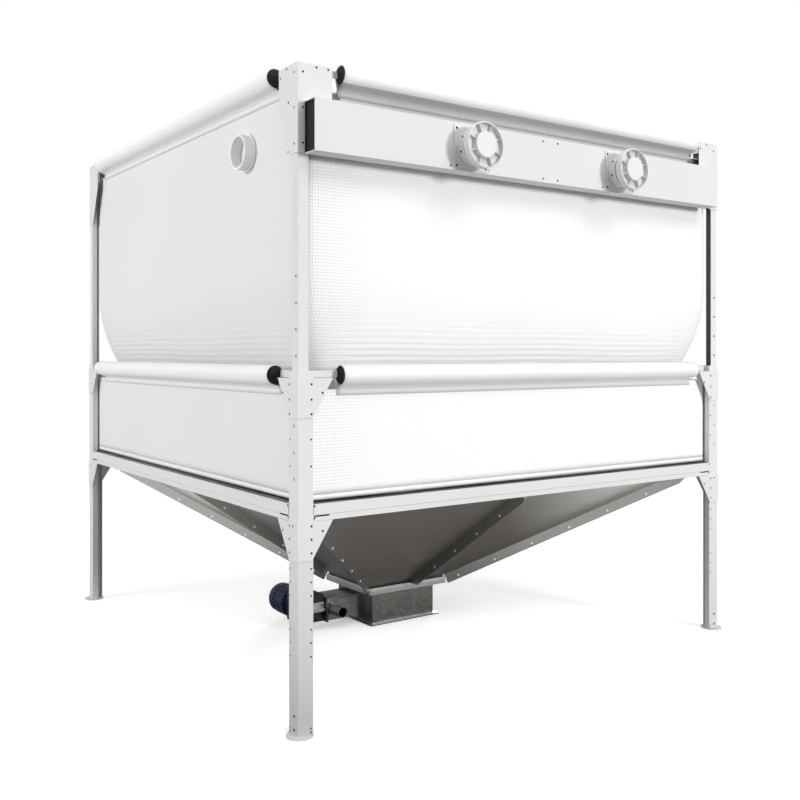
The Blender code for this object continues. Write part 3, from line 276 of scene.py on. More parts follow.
# coated cloth with ripstop lines; drift is the soft greying of handled cloth
def clothMaterial(name, look):
    material, tree, shader = newMaterial(name)
    weave = useGroup(tree, weaveGroup, {"Pitch": look["pitch"], "Line": look["line"], "Yarn": look["yarn"]})
    skin = useGroup(tree, skinGroup, {"Drift Scale": 1.6, "Skin Scale": 260.0})
    dust = useGroup(tree, dustGroup, {"Patch Scale": 5.0})
    colour = blendColour(tree, spread(tree, skin["Drift"], 0.0, 1.0, 0.35, 0.70), look["colour"], look["colour2"])
    colour = tint(tree, colour, look["lineColour"], weave["Yarns"], look["yarnShade"])
    depth = look["lineShade"]
    if "paintedLineShade" in look:     # painted shade: the lines are drawn darker by the left post and low on the belly
        place = parted(tree, objectPlace(tree))
        foot, low, high = look["bellyShadeBand"]
        belly = times(tree, spread(tree, place["Z"], 0.5, 0.0, low, high), calc(tree, "GREATER_THAN", place["Z"], foot))
        shadedLines = calc(tree, "MAXIMUM", belly, spread(tree, place["X"], 1.0, 0.0, *look["postShadeBand"]))
        depth = calc(tree, "MULTIPLY_ADD", shadedLines, look["paintedLineShade"], depth)
    colour = tint(tree, colour, look["lineColour"], weave["Grid"], depth)
    colour = tint(tree, colour, grey(0.52, 0.03), dust["Dust"], 0.35)
    shader.inputs["Sheen Weight"].default_value = look["sheen"]
    shader.inputs["Sheen Roughness"].default_value = 0.5
    raised = calc(tree, "MULTIPLY_ADD", weave["Grid"], 0.6, times(tree, weave["Yarns"], 0.4))
    roughness = spread(tree, skin["Skin"], *look["roughness"], 0.3, 0.7)
    wire(tree, shader, colour, roughness, bumped(tree, look["bump"], 0.0004, raised))
    return material


# powder coat, with painted shade that darkens low parts towards the floor
powderLook = {
    "colour": (0.700, 0.701, 0.703, 1), "colour2": (0.728, 0.728, 0.726, 1), "driftScale": 1.7, "skinScale": 1100.0,
    "round": 0.0014, "rub": 0.25, "rubColour": grey(0.88), "dust": 0.30, "dustColour": grey(0.62, 0.03),
    "roughness": (0.64, 0.76), "bump": 0.10, "specular": 0.15, "paintedFootShade": 0.35, "paintedFootShadeTop": 0.80,
    "paintedFootShadeColour": grey(0.45, 0.015)}
# deeper painted shade towards the floor, for the front left lower post
heavyFootShadeLook = dict(powderLook, paintedFootShade=0.88, paintedFootShadeTop=0.70, paintedFootShadeColour=grey(0.38, 0.015))
# painted shade inside the folds of the upper posts and head brackets
foldShadeLook = dict(powderLook, inner=grey(0.07, 0.02))
# one cloth in two copies: the side copy is painted darker as shade, the front copy lighter as lit
shadedSideClothLook = {
    "colour": grey(0.78), "colour2": grey(0.76), "lineColour": grey(0.58), "pitch": 0.0105, "line": 0.17,
    "yarn": 0.0013, "yarnShade": 0.05, "lineShade": 0.12, "roughness": (0.62, 0.78), "sheen": 0.1, "bump": 0.25}
litFrontClothLook = dict(shadedSideClothLook, colour=grey(0.93), colour2=grey(0.91), lineShade=0.22, paintedLineShade=0.62,
                      bellyShadeBand=(1.10, 1.17, 1.30), postShadeBand=(-1.0, -0.74), roughness=(0.60, 0.75), bump=0.35)
sleeveLook = dict(shadedSideClothLook, colour=grey(0.86), colour2=grey(0.84), lineColour=grey(0.66), pitch=0.0022, line=0.20,
                  yarn=0.0011, yarnShade=0.08, lineShade=0.08, roughness=(0.42, 0.58), sheen=0.05, bump=0.18)
# painted shade: darker cloth under the front top sleeve and over the fascia
underShadeLook = dict(shadedSideClothLook, colour=grey(0.46, 0.015), colour2=grey(0.52, 0.015), lineShade=0.30)
# painted shade: near-black cloth for the bag's front corners behind the head brackets
cornerShadeLook = dict(shadedSideClothLook, colour=grey(0.11, 0.02), colour2=grey(0.14, 0.02), lineColour=grey(0.09))
# hopper sheet, with a painted highlight on the outlet lips and painted shade on the top rim
hopperLook = {
    "colour": (0.45, 0.436, 0.422, 1), "colour2": (0.50, 0.485, 0.471, 1), "flowerScale": 70.0,
    "streakScale": 4.0, "streak": 0.45, "streakColour": (0.40, 0.386, 0.372, 1), "round": 0.0012, "rub": 0.7,
    "rubColour": grey(0.50, 0.02), "dustColour": (0.20, 0.18, 0.15, 1), "roughness": (0.28, 0.34), "metal": 0.88,
    "paintedLightBands": ((0.1580, 0.1740, True, grey(0.60, 0.01)), (0.7262, 0.7310, False, grey(0.010)))}
# trough, with painted highlights on its lips and foot flange
troughLook = dict(hopperLook, colour=(0.215, 0.207, 0.199, 1), colour2=(0.25, 0.241, 0.232, 1),
                  streakColour=(0.19, 0.182, 0.175, 1),
                  paintedLightBands=((0.1430, 0.1565, True, grey(0.50, 0.01)), (0.0030, 0.0066, False, grey(0.50, 0.01))))
steelLook = dict(hopperLook, colour=(0.42, 0.41, 0.39, 1), colour2=(0.50, 0.49, 0.47, 1),
                 streakColour=(0.36, 0.35, 0.33, 1), rubColour=grey(0.62), metal=0.85, roughness=(0.28, 0.42), paintedLightBands=())
boltLook = dict(steelLook, colour=(0.80, 0.80, 0.79, 1), colour2=(0.88, 0.88, 0.87, 1), streak=0.2, rubColour=grey(0.9),
                metal=0.5)
alloyLook = {
    "colour": (0.68, 0.68, 0.68, 1), "colour2": (0.715, 0.715, 0.71, 1), "driftScale": 9.0, "skinScale": 1500.0,
    "round": 0.0012, "rub": 0.5, "rubColour": grey(0.86), "dust": 0.3, "dustColour": grey(0.45, 0.03),
    "roughness": (0.56, 0.68), "bump": 0.18, "metal": 0.1, "specular": 0.2}
# the caps' web: as-cast skin, painted darker as shade in the recess
castSkinAndShadeLook = dict(alloyLook, colour=grey(0.58, 0.01), colour2=grey(0.63, 0.01), roughness=(0.60, 0.72), bump=0.35)
plasticLook = {
    "colour": grey(0.86), "colour2": grey(0.89), "driftScale": 6.0, "skinScale": 1400.0, "round": 0.001, "rub": 0.2,
    "rubColour": grey(0.88), "dust": 0.3, "dustColour": grey(0.5, 0.03), "roughness": (0.40, 0.52), "bump": 0.12}
blackLook = {
    "colour": (0.010, 0.010, 0.011, 1), "colour2": (0.016, 0.016, 0.017, 1), "driftScale": 12.0, "skinScale": 1300.0,
    "round": 0.001, "rub": 0.3, "rubColour": grey(0.04), "dust": 0.10, "dustColour": grey(0.16, 0.04),
    "roughness": (0.50, 0.66), "bump": 0.18, "specular": 0.12}
navyLook = {
    "colour": (0.008, 0.009, 0.034, 1), "colour2": (0.010, 0.012, 0.042, 1), "driftScale": 8.0, "skinScale": 900.0,
    "round": 0.0015, "rub": 0.05, "rubColour": (0.03, 0.035, 0.09, 1), "dust": 0.02, "dustColour": grey(0.16, 0.05),
    "roughness": (0.46, 0.58), "bump": 0.16, "specular": 0.25}
castingLook = {
    "colour": (0.016, 0.015, 0.014, 1), "colour2": (0.026, 0.025, 0.023, 1), "driftScale": 14.0, "skinScale": 700.0,
    "round": 0.0015, "rub": 0.5, "rubColour": grey(0.12), "dust": 0.15, "dustColour": grey(0.16, 0.05),
    "roughness": (0.50, 0.64), "bump": 0.30, "metal": 0.1, "specular": 0.2}
threadLook = {
    "colour": grey(0.62), "colour2": grey(0.70), "driftScale": 40.0, "skinScale": 1600.0, "round": 0.0003, "rub": 0.0,
    "rubColour": grey(0.8), "dust": 0.2, "dustColour": grey(0.45), "roughness": (0.6, 0.75), "bump": 0.1}

powderCoat = coatedMaterial("powderCoat", powderLook)
heavyFootShadeCoat = coatedMaterial("heavyFootShadeCoat", heavyFootShadeLook)
foldShadeCoat = coatedMaterial("foldShadeCoat", foldShadeLook)
litFrontCloth = clothMaterial("litFrontCloth", litFrontClothLook)
shadedSideCloth = clothMaterial("shadedSideCloth", shadedSideClothLook)
sleeveCloth = clothMaterial("sleeveCloth", sleeveLook)
underShadeCloth = clothMaterial("underShadeCloth", underShadeLook)
cornerShadeCloth = clothMaterial("cornerShadeCloth", cornerShadeLook)
hopperZinc = sheetMaterial("hopperZinc", dict(hopperLook, flange=(0.29, 0.281, 0.272, 1)))
troughZinc = sheetMaterial("troughZinc", troughLook)
brightSteel = sheetMaterial("brightSteel", steelLook)
boltZinc = sheetMaterial("boltZinc", boltLook)
castAlloy = coatedMaterial("castAlloy", alloyLook)
castSkinAndShade = coatedMaterial("castSkinAndShade", castSkinAndShadeLook)
whitePlastic = coatedMaterial("whitePlastic", plasticLook)
blackPlastic = coatedMaterial("blackPlastic", blackLook)
navyEnamel = coatedMaterial("navyEnamel", navyLook)
darkCasting = coatedMaterial("darkCasting", castingLook)
sewingThread = coatedMaterial("sewingThread", threadLook)
print("materials ready")

# which finish each solid of the frame takes
nodeFinish = {
    "lower_post": powderCoat, "lower_post_front_left": heavyFootShadeCoat, "upper_post": foldShadeCoat,
    "upper_post_back_left": powderCoat, "foot_plate": powderCoat, "bottom_bracket": powderCoat,
    "mid_bracket": powderCoat, "head_bracket": foldShadeCoat, "bottom_beam": powderCoat, "mid_rail": powderCoat,
    "top_rail": powderCoat, "fascia": powderCoat, "filler_pipe": castAlloy, "sealing_disc": castAlloy,
    "turning_cap": castAlloy, "port_collar": whitePlastic, "hopper_sheet": hopperZinc, "trough": troughZinc,
    "trough_cover": troughZinc, "auger": brightSteel, "pickup_box": troughZinc, "gearbox": darkCasting,
    "motor": navyEnamel, "upper_bag": shadedSideCloth, "lower_skirt": shadedSideCloth}


def dressSolids():
    for name, solid in cad.items():
        finish = next(nodeFinish[key] for key in sorted(nodeFinish, key=len, reverse=True) if name.startswith(key))
        solid.data.materials.clear()
        solid.data.materials.append(finish)


# mesh helpers
def addPiece(name, work, finishes, body, smooth=None, turn=0, recalc=True):
    if recalc:
        bmesh.ops.recalc_face_normals(work, faces=work.faces)
    mesh = bpy.data.meshes.new(name)
    work.to_mesh(mesh)
    work.free()
    if turn:
        mesh.transform(turned(turn))
    piece = bpy.data.objects.new(name, mesh)
    scene.collection.objects.link(piece)
    for finish in finishes:
        mesh.materials.append(finish)
    if smooth is not None:
        mesh.shade_smooth()
        if smooth < 180:
            mesh.set_sharp_from_angle(angle=math.radians(smooth))
    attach(piece, body)
    return piece


def spinInto(work, profile, steps, place, finish=0, closed=False):
    rings = []
    for radius, height in profile:
        count = 1 if radius < 1e-6 else steps
        ring = [place @ Vector((radius * math.cos(2 * math.pi * i / count), radius * math.sin(2 * math.pi * i / count),
                                height)) for i in range(count)]
        rings.append([work.verts.new(point) for point in ring])
    pairs = list(zip(rings, rings[1:])) + ([(rings[-1], rings[0])] if closed else [])
    for low, high in pairs:
        for i in range(steps):
            corners = [low[i % len(low)], low[(i + 1) % len(low)], high[(i + 1) % len(high)], high[i % len(high)]]
            corners = list(dict.fromkeys(corners))
            if len(corners) > 2:
                face = work.faces.new(corners)
                face.material_index = finish


def facing(direction, point):
    return Matrix.Translation(point) @ Vector(direction).to_track_quat("Z", "Y").to_matrix().to_4x4()


def front(across, out, up):
    return facing((0, -1, 0), (across, -out, up))


def turned(degrees):
    return Matrix.Rotation(math.radians(degrees), 4, "Z")


def easeStep(value, low, high):
    t = min(max((value - low) / (high - low), 0.0), 1.0)
    return t * t * (3 - 2 * t)


# one level of a cloth shell: points round a rounded square, with the cloth's own width coordinate
def squareRing(half, corner, sideSteps, cornerSteps):
    points = []
    straight = half - corner
    for side in range(4):
        turn = Matrix.Rotation(side * math.pi / 2, 2)
        for i in range(sideSteps):
            along = -straight + 2 * straight * i / sideSteps
            points.append((turn @ Vector((along, -half)), along, side))
        for i in range(cornerSteps):
            angle = math.pi / 2 * i / cornerSteps
            spot = Vector((straight + corner * math.sin(angle), -straight - corner * math.cos(angle)))
            points.append((turn @ spot, straight + corner * angle, side))
    return points


# one face of cloth, with the place of each corner in the weave
def wovenFace(work, weave, corners, places, finish=0):
    face = work.faces.new(corners)
    face.material_index = finish
    for loop, place in zip(face.loops, places):
        loop[weave].uv = place


def clothShell(s, levels, shift, closeTop, frontBelow):
    work = bmesh.new()
    weave = work.loops.layers.uv.new("weave")
    rings = [squareRing(half, min(s["corner"], half * 0.5), s["sideSteps"], s["cornerSteps"])
             for half, height, down in levels]
    rows = [[work.verts.new(shift(spot, height, along, half, side)) for spot, along, side in ring]
            for (half, height, down), ring in zip(levels, rings)]
    count = len(rows[0])
    step = math.pi / 2 * s["corner"] / s["cornerSteps"]
    for level in range(len(rows) - 1):
        for i in range(count):
            j = (i + 1) % count
            side = rings[level][i][2]
            # faces at the front, and the front left corner, take the lit copy of the cloth
            atFront = side == 0 or (side == 3 and i % (s["sideSteps"] + s["cornerSteps"]) >= s["sideSteps"])
            spots = ((level, i), (level + 1, i), (level + 1, j), (level, j))
            places = []
            for row, column in spots:
                along = rings[row][column][1]
                if column == j and rings[row][j][2] != side:   # the last strip of a corner runs on past it
                    along = rings[row][i][1] + step
                places.append((along + 4.0 * side, levels[row][2]))
            wovenFace(work, weave, [rows[row][column] for row, column in spots], places,
                      1 if atFront and levels[level][1] < frontBelow else 0)
    if closeTop:
        middle = work.faces.new(rows[0])
        for loop in middle.loops:
            loop[weave].uv = loop.vert.co.xy
    return work


# slow noise over a cloth: rate along it, step from side to side, rate down it
def sway(along, height, side, rates, seed):
    return noise.noise(Vector((along * rates[0] + rates[1] * side, height * rates[2], seed)))


def pushedOut(spot, height, side, push):
    outward = Matrix.Rotation(side * math.pi / 2, 2) @ Vector((0, -1))
    return Vector((spot.x + outward.x * push, spot.y + outward.y * push, height))


def thicken(piece, thickness, offset):
    solid = piece.modifiers.new("clothThickness", "SOLIDIFY")
    solid.thickness, solid.offset = thickness, offset


def shellArea(work):
    return sum(face.calc_area() for face in work.faces)


# the bag: one lofted sheet from the slack roof over straight walls to the drawn-in belly
bagSet = {
    "half": 1.0200, "corner": 0.050, "roofZ": 2.0540, "roofRound": 0.014, "roundSteps": 4, "roofEdge": 0.001,
    "roofSag": 0.022, "ripple": 0.004, "rippleRate": 2.3, "bellyZ": 1.48, "bellyRound": 0.78, "rimZ": 0.9015,
    "thickness": 0.0014, "sideSteps": 62, "cornerSteps": 8, "wallSteps": 30,
    "bellySteps": ((0.0, 6), (0.18, 80), (0.61, 10)),
    "roofLevels": (0.03, 0.14, 0.26, 0.38, 0.50, 0.62, 0.73, 0.83, 0.91, 0.97),
    "calmSide": (0.02, 0.30), "calmTop": (0.03, 0.25), "slow": (1.5, 7, 1.1), "quick": (5.0, 3, 2.4),
    "wave": 0.0024, "rest": 0.35, "shiver": 0.0008, "pull": 0.0014, "pullLean": 0.8, "pullRate": 30.0, "pullDrift": 4,
    "pullReach": 0.45, "pullEase": 0.4, "fold": 0.0017, "foldPitch": 0.0215, "foldFrom": 1.38, "foldTo": 1.18,
    "foldEnd": 0.12, "foldDrift": 2.4, "foldNoise": (1.7, 5, 3.0), "patchReach": 0.876, "patchZ": (1.985, 2.0535),
    "patchDeep": 0.02}


def bagLevels():
    s = bagSet
    edge = s["half"] - s["roofRound"]
    levels = [(edge * share, s["roofZ"], -edge * (1 - share)) for share in s["roofLevels"]]
    for i in range(s["roundSteps"] + 1):
        angle = math.pi / 2 * i / s["roundSteps"]
        levels.append((edge + s["roofRound"] * math.sin(angle),
                       s["roofZ"] - s["roofRound"] * (1 - math.cos(angle)), s["roofRound"] * angle))
    wallTop, down = s["roofZ"] - s["roofRound"], s["roofRound"] * math.pi / 2
    for i in range(1, s["wallSteps"] + 1):
        drop = (wallTop - s["bellyZ"]) * i / s["wallSteps"]
        levels.append((s["half"], wallTop - drop, down + drop))
    down += wallTop - s["bellyZ"]
    reach = math.asin((s["bellyZ"] - s["rimZ"]) / s["bellyRound"])
    shares = [share for share, count in s["bellySteps"]] + [1.0]
    for (share, count), after in zip(s["bellySteps"], shares[1:]):
        for i in range(1, count + 1):
            angle = reach * (share + (after - share) * i / count)
            levels.append((s["half"] - s["bellyRound"] * (1 - math.cos(angle)),
                           s["bellyZ"] - s["bellyRound"] * math.sin(angle), down + s["bellyRound"] * angle))
    return levels


def bagShift(spot, height, along, half, side):
    s = bagSet
    if height > s["roofZ"] - s["roofEdge"]:      # the roof hangs slack between its edges
        share = max(abs(spot.x), abs(spot.y)) / s["half"]
        ripple = s["ripple"] * noise.noise(Vector((spot.x * s["rippleRate"], spot.y * s["rippleRate"], 4.0)))
        return Vector((spot.x, spot.y, height - (s["roofSag"] + ripple) * (1 - share ** 2)))
    fromCorner = half - s["corner"] - abs(along)
    calm = easeStep(fromCorner, *s["calmSide"]) * easeStep(s["roofZ"] - height, *s["calmTop"])
    slow = sway(along, height, side, s["slow"], 2.0 + side)
    quick = sway(along, height, side, s["quick"], 9.0)
    pulls = math.sin((along * s["pullLean"] + height) * s["pullRate"] + s["pullDrift"] * slow)
    pulls *= easeStep(s["pullReach"] - fromCorner, 0.0, s["pullEase"])
    push = calm * (s["wave"] * (slow - s["rest"]) + s["shiver"] * quick) - s["pull"] * calm * (0.5 + 0.5 * pulls) * 0.5
    low = easeStep(s["foldFrom"] - height, 0.0, s["foldFrom"] - s["foldTo"]) * easeStep(fromCorner, 0.0, s["foldEnd"])
    drift = sway(along, height, side, s["foldNoise"], 6.0)     # level folds low on the belly
    crease = 0.5 + 0.5 * math.sin(2 * math.pi * height / s["foldPitch"] + s["foldDrift"] * drift)
    push -= s["fold"] * low * crease * min(1.0, 0.5 + abs(drift))
    return pushedOut(spot, height, side, push)


def makeBag():
    s = bagSet
    levels = bagLevels()
    work = clothShell(s, levels, bagShift, True, s["roofZ"] - s["roofEdge"])
    work.normal_update()
    area = shellArea(work)
    for face in work.faces:     # painted shade on the cloth over the fascia, near-black painted shade at the front corners behind the head brackets
        middle = face.calc_center_median()
        onWall = s["patchZ"][0] < middle.z < s["patchZ"][1] and abs(face.normal.z) < 0.5
        if onWall and middle.y < s["patchDeep"] - s["half"]:
            face.material_index = 2 if abs(middle.x) > s["patchReach"] else 3
    bag = addPiece("bagCloth", work, [shadedSideCloth, litFrontCloth, cornerShadeCloth, underShadeCloth], "upper_frame",
                   smooth=180, recalc=False)
    thicken(bag, s["thickness"], -1)
    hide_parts("upper_bag")
    length = levels[-1][2] - levels[0][2]
    return bag, (8 * s["half"], length), area


# sleeves round the rails: a loop of cloth sewn shut under the rail, with a flat tail below the seam
sleeveSet = {
    "axisOut": 1.042, "round": 0.0316, "tailOut": 1.0222, "tailIn": 1.0210, "close": 0.040, "tail": 0.066,
    "halfLength": 0.889, "steps": 90, "arcSteps": 22, "shadeSteps": 5, "thickness": 0.0009, "wave": 0.0007,
    "waveRates": (6, 14), "least": 0.02}
sleeveRails = {"top": (2.100, "upper_frame"), "mid": (1.1335, "stand")}


def sleevePath():
    s = sleeveSet
    outer = Vector((s["tailOut"] - s["axisOut"], -s["close"]))
    inner = Vector((s["tailIn"] - s["axisOut"], -s["close"]))
    toSeam = math.atan2(outer.y, outer.x)
    gape = math.acos(s["round"] / outer.length)
    start, end = toSeam + gape, toSeam - gape + 2 * math.pi
    path = [Vector((outer.x, -s["tail"])), Vector((outer.x, -(s["tail"] + s["close"]) / 2)), outer]
    path.append((outer + s["round"] * Vector((math.cos(start), math.sin(start)))) / 2)
    for i in range(s["arcSteps"] + 1):
        angle = start + (end - start) * i / s["arcSteps"]
        path.append(s["round"] * Vector((math.cos(angle), math.sin(angle))))
    path.append((inner + path[-1]) / 2)
    path += [inner, Vector((inner.x, -(s["tail"] + s["close"]) / 2)), Vector((inner.x, -s["tail"]))]
    return path


def makeSleeve(level, side):
    s = sleeveSet
    railZ, body = sleeveRails[level]
    path = sleevePath()
    lengths = [0.0]
    for first, second in zip(path, path[1:]):
        lengths.append(lengths[-1] + (second - first).length)
    work = bmesh.new()
    weave = work.loops.layers.uv.new("weave")
    seed = 11 * list(sideTurns).index(side) + (5 if level == "top" else 0)
    paintedUnderShade = (level, side) == ("top", "Front")     # painted shade under the sleeve over the couplings; the other sleeves' tails take the shaded side copy of the cloth
    underside = s["shadeSteps"] if paintedUnderShade else 2
    alongRate, roundRate = s["waveRates"]
    rows = []
    for i in range(s["steps"] + 1):
        along = -s["halfLength"] + 2 * s["halfLength"] * i / s["steps"]
        row = []
        for k, spot in enumerate(path):
            uneven = noise.noise(Vector((along * alongRate + seed, lengths[k] * roundRate, seed)))
            loose = max(0.0, uneven) * s["wave"] if 3 <= k <= len(path) - 4 else 0.0
            grown = spot * (1 + loose / max(spot.length, s["least"]))
            row.append(work.verts.new((along, -s["axisOut"] - grown.x, railZ + grown.y)))
        rows.append(row)
    for i in range(s["steps"]):
        for k in range(len(path) - 1):
            spots = ((i, k), (i + 1, k), (i + 1, k + 1), (i, k + 1))
            wovenFace(work, weave, [rows[a][b] for a, b in spots], [(rows[a][b].co.x, lengths[b]) for a, b in spots],
                      0 if underside <= k < len(path) - 3 else 1)
    sleeve = addPiece(f"{level}Sleeve{side}", work, [sleeveCloth, underShadeCloth if paintedUnderShade else shadedSideCloth], body,
                      smooth=180, turn=sideTurns[side], recalc=False)
    thicken(sleeve, s["thickness"], 0)
    return sleeve, (2 * s["halfLength"], lengths[-1])


# the skirt under the mid rails and the rolled hem at its foot
skirtSet = {
    "half": 1.0203, "corner": 0.050, "topZ": 1.0880, "footZ": 0.7525, "steps": 22, "sideSteps": 60, "cornerSteps": 6,
    "thickness": 0.0014, "calmSide": (0.02, 0.25), "calmTop": (0.0, 0.10), "slow": (1.8, 5, 2.0), "wave": 0.0018,
    "rest": 0.5, "hang": (7.0, 9, 0.8), "hangWave": 0.0010, "hangRest": 0.6, "hemRound": 0.0105, "hemHalf": 1.0106,
    "hemZ": 0.7432, "hemSides": 14, "hemDraw": 0.01, "hemWave": 0.02, "hemRate": 9, "hemJoin": 0.01}


def skirtShift(spot, height, along, half, side):
    s = skirtSet
    fromCorner = half - s["corner"] - abs(along)
    calm = easeStep(fromCorner, *s["calmSide"]) * easeStep(s["topZ"] - height, *s["calmTop"])
    slow = sway(along, height, side, s["slow"], 12.0 + side)
    hang = sway(along, height, side, s["hang"], 3.0)
    push = calm * (s["wave"] * (slow - s["rest"]) + s["hangWave"] * (hang - s["hangRest"]))
    return pushedOut(spot, height, side, push)


def makeSkirt():
    s = skirtSet
    levels = []
    for i in range(s["steps"] + 1):
        drop = (s["topZ"] - s["footZ"]) * i / s["steps"]
        levels.append((s["half"], s["topZ"] - drop, drop))
    work = clothShell(s, levels, skirtShift, False, math.inf)
    area = shellArea(work)
    skirt = addPiece("skirtCloth", work, [shadedSideCloth, litFrontCloth], "stand", smooth=180, recalc=False)
    thicken(skirt, s["thickness"], -1)
    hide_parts("lower_skirt")
    return skirt, (8 * s["half"], s["topZ"] - s["footZ"]), area


def makeHem():
    s = skirtSet
    work = bmesh.new()
    weave = work.loops.layers.uv.new("weave")
    ring = squareRing(s["hemHalf"], s["corner"] - s["hemDraw"], s["sideSteps"], s["cornerSteps"] + 2)
    rows, along, last = [], 0.0, None
    for k, (spot, run, side) in enumerate(ring):
        ahead, behind = ring[(k + 1) % len(ring)][0], ring[k - 1][0]
        out = Vector(((ahead - behind).y, -(ahead - behind).x)).normalized()
        along += (spot - last).length if last else 0.0
        last = spot
        fat = s["hemRound"] * (1 + s["hemWave"] * noise.noise(Vector((along * s["hemRate"], 1.0, 3.0))))
        row = []
        for i in range(s["hemSides"]):
            angle = 2 * math.pi * i / s["hemSides"]
            push, rise = fat * math.cos(angle), fat * math.sin(angle)
            row.append(work.verts.new((spot.x + out.x * push, spot.y + out.y * push, s["hemZ"] + rise)))
        rows.append((row, along))
    step = 2 * math.pi * s["hemRound"] / s["hemSides"]
    for k, (row, start) in enumerate(rows):
        after, end = rows[(k + 1) % len(rows)]
        end = end if end > start else start + s["hemJoin"]
        for i in range(s["hemSides"]):
            j, low, high = (i + 1) % s["hemSides"], i * step, (i + 1) * step
            wovenFace(work, weave, (row[i], after[i], after[j], row[j]),
                      ((start, low), (end, low), (end, high), (start, high)))
    return addPiece("hemRoll", work, [sleeveCloth], "stand", smooth=180)


# sewn rows: short raised stitches along the tails and over the hem
stitchSet = {"pitch": 0.0125, "length": 0.0085, "fat": 0.0007, "underSeam": 0.004, "overEdge": 0.005, "inset": 0.006,
             "overHem": 0.016, "lift": 0.0002}


def stitchRow(work, start, end, out):
    s = stitchSet
    start, end, out = Vector(start), Vector(end), Vector(out)
    run = (end - start).normalized()
    across = run.cross(out)
    count = int((end - start).length / s["pitch"])
    for i in range(count):
        middle = start + run * s["pitch"] * (i + 0.5)
        ring = [middle + across * s["fat"] * math.cos(a) + out * s["fat"] * (0.5 + math.sin(a)) for a in
                (0, math.pi / 2, math.pi, 3 * math.pi / 2)]
        tips = [work.verts.new(middle + run * s["length"] / 2 * way) for way in (-1, 1)]
        belt = [work.verts.new(point) for point in ring]
        for a in range(4):
            b = (a + 1) % 4
            work.faces.new((belt[a], belt[b], tips[1]))
            work.faces.new((belt[b], belt[a], tips[0]))


def makeSleeveStitches(level, side):
    s = sleeveSet
    railZ, body = sleeveRails[level]
    out, reach = s["tailOut"] + s["thickness"] / 2, s["halfLength"] - stitchSet["inset"]
    work = bmesh.new()
    for drop in (s["close"] + stitchSet["underSeam"], s["tail"] - stitchSet["overEdge"]):
        stitchRow(work, (-reach, -out, railZ - drop), (reach, -out, railZ - drop), (0, -1, 0))
    return addPiece(f"{level}Stitches{side}", work, [sewingThread], body, smooth=180,
                    turn=sideTurns[side])


def makeHemStitches():
    s = skirtSet
    work = bmesh.new()
    reach, out, height = s["half"] - s["corner"], s["half"] + stitchSet["lift"], s["footZ"] + stitchSet["overHem"]
    for turn in sideTurns.values():
        place = turned(turn)
        stitchRow(work, place @ Vector((-reach, -out, height)), place @ Vector((reach, -out, height)),
                  place.to_3x3() @ Vector((0, -1, 0)))
    return addPiece("hemStitches", work, [sewingThread], "stand", smooth=180)


# black plugs in the rail ends
plugSet = {"end": 0.885, "steps": 40,
           "profile": ((0.0, -0.004), (0.0297, -0.004), (0.0299, 0.0008), (0.0292, 0.0026), (0.0262, 0.0036),
                       (0.0205, 0.0032), (0.0195, 0.0024), (0.0, 0.0024))}


def makePlugs(level):
    railZ, body = sleeveRails[level]
    for side, turn in sideTurns.items():
        work = bmesh.new()
        for way in (-1, 1):
            spinInto(work, plugSet["profile"], plugSet["steps"],
                     turned(turn) @ facing((way, 0, 0), (way * plugSet["end"], -sleeveSet["axisOut"], railZ)))
        addPiece(f"{level}RailPlugs{side}", work, [blackPlastic], body, smooth=35)


# punched holes: a black floor that paints the shade inside the hole, within a fine raised burr of paint; places are (in
# from the corner, up) in mm
holeSet = {"steps": 18, "burr": 0.0007, "burrTop": 0.6, "rise": 0.00035, "floor": 0.00012}


def holeInto(work, radius, place):
    s = holeSet
    spinInto(work, ((0.0, 0.0), (radius, 0.0), (radius, s["floor"]), (0.0, s["floor"])), s["steps"], place, 1)
    edge, top = radius + s["burr"], radius + s["burr"] * s["burrTop"]
    spinInto(work, ((radius, 0.0), (edge, 0.0), (top, s["rise"]), (radius, s["rise"])), s["steps"], place, closed=True)


cornerHoles = {   # body, distance of the face from the middle, holes on the two legs of the corner
    "headHoles": ("upper_frame", 1.0467, 0.0034,
                  ((22, 2087), (71, 2108), (114, 2107.5), (22, 1976), (22, 1864)),
                  ((27, 2088), (76, 2109), (118, 2088), (27, 1977), (64, 1999), (27, 1863), (66, 1843))),
    "midHoles": ("stand", 1.05, 0.0036,
                 ((51, 1106), (91, 1078), (51, 1058), (51, 1012)), ((51, 1106), (96, 1078), (51, 1058), (51, 1012))),
    "lowHoles": ("stand", 1.05, 0.0036,
                 ((51, 659), (92, 640), (51, 617), (51, 574)), ((51, 659), (28, 660), (96, 638), (51, 617), (51, 574))),
    "postHoles": ("stand", 1.0472, 0.0031,
                  ((51, 932), (51, 847), (51, 524), (51, 482), (51, 440), (51, 333), (51, 291), (51, 248), (50, 22),
                   (50, 10)),
                  ((52, 932), (52, 847), (51, 524), (51, 482), (51, 440), (51, 333), (51, 291), (51, 248), (52, 22),
                   (52, 10))),
    "footHoles": ("stand", 1.0472, 0.0052, (), ((25, 63.5), (25, 20.5)))}


def makeCornerHoles():
    for label, (body, out, radius, firstLeg, secondLeg) in cornerHoles.items():
        for corner, turn in cornerTurns.items():
            work = bmesh.new()
            for along, up in firstLeg:
                holeInto(work, radius, turned(turn) @ front(-tankHalf + along / 1000, out, up / 1000))
            for along, up in secondLeg:
                holeInto(work, radius, turned(turn) @ facing((-1, 0, 0), (-out, -tankHalf + along / 1000, up / 1000)))
            addPiece(label + corner, work, [powderCoat, blackPlastic], body, smooth=30)


# bolts: washer, six-sided head and a chamfer on it, all as shares of the radius
boltSet = {"washer": 1.15, "washerRise": 0.16, "washerWall": 0.7, "washerTop": 0.94, "headRise": 0.62, "head": 0.86,
           "headTop": 0.72, "chamfer": 0.12, "steps": 20}


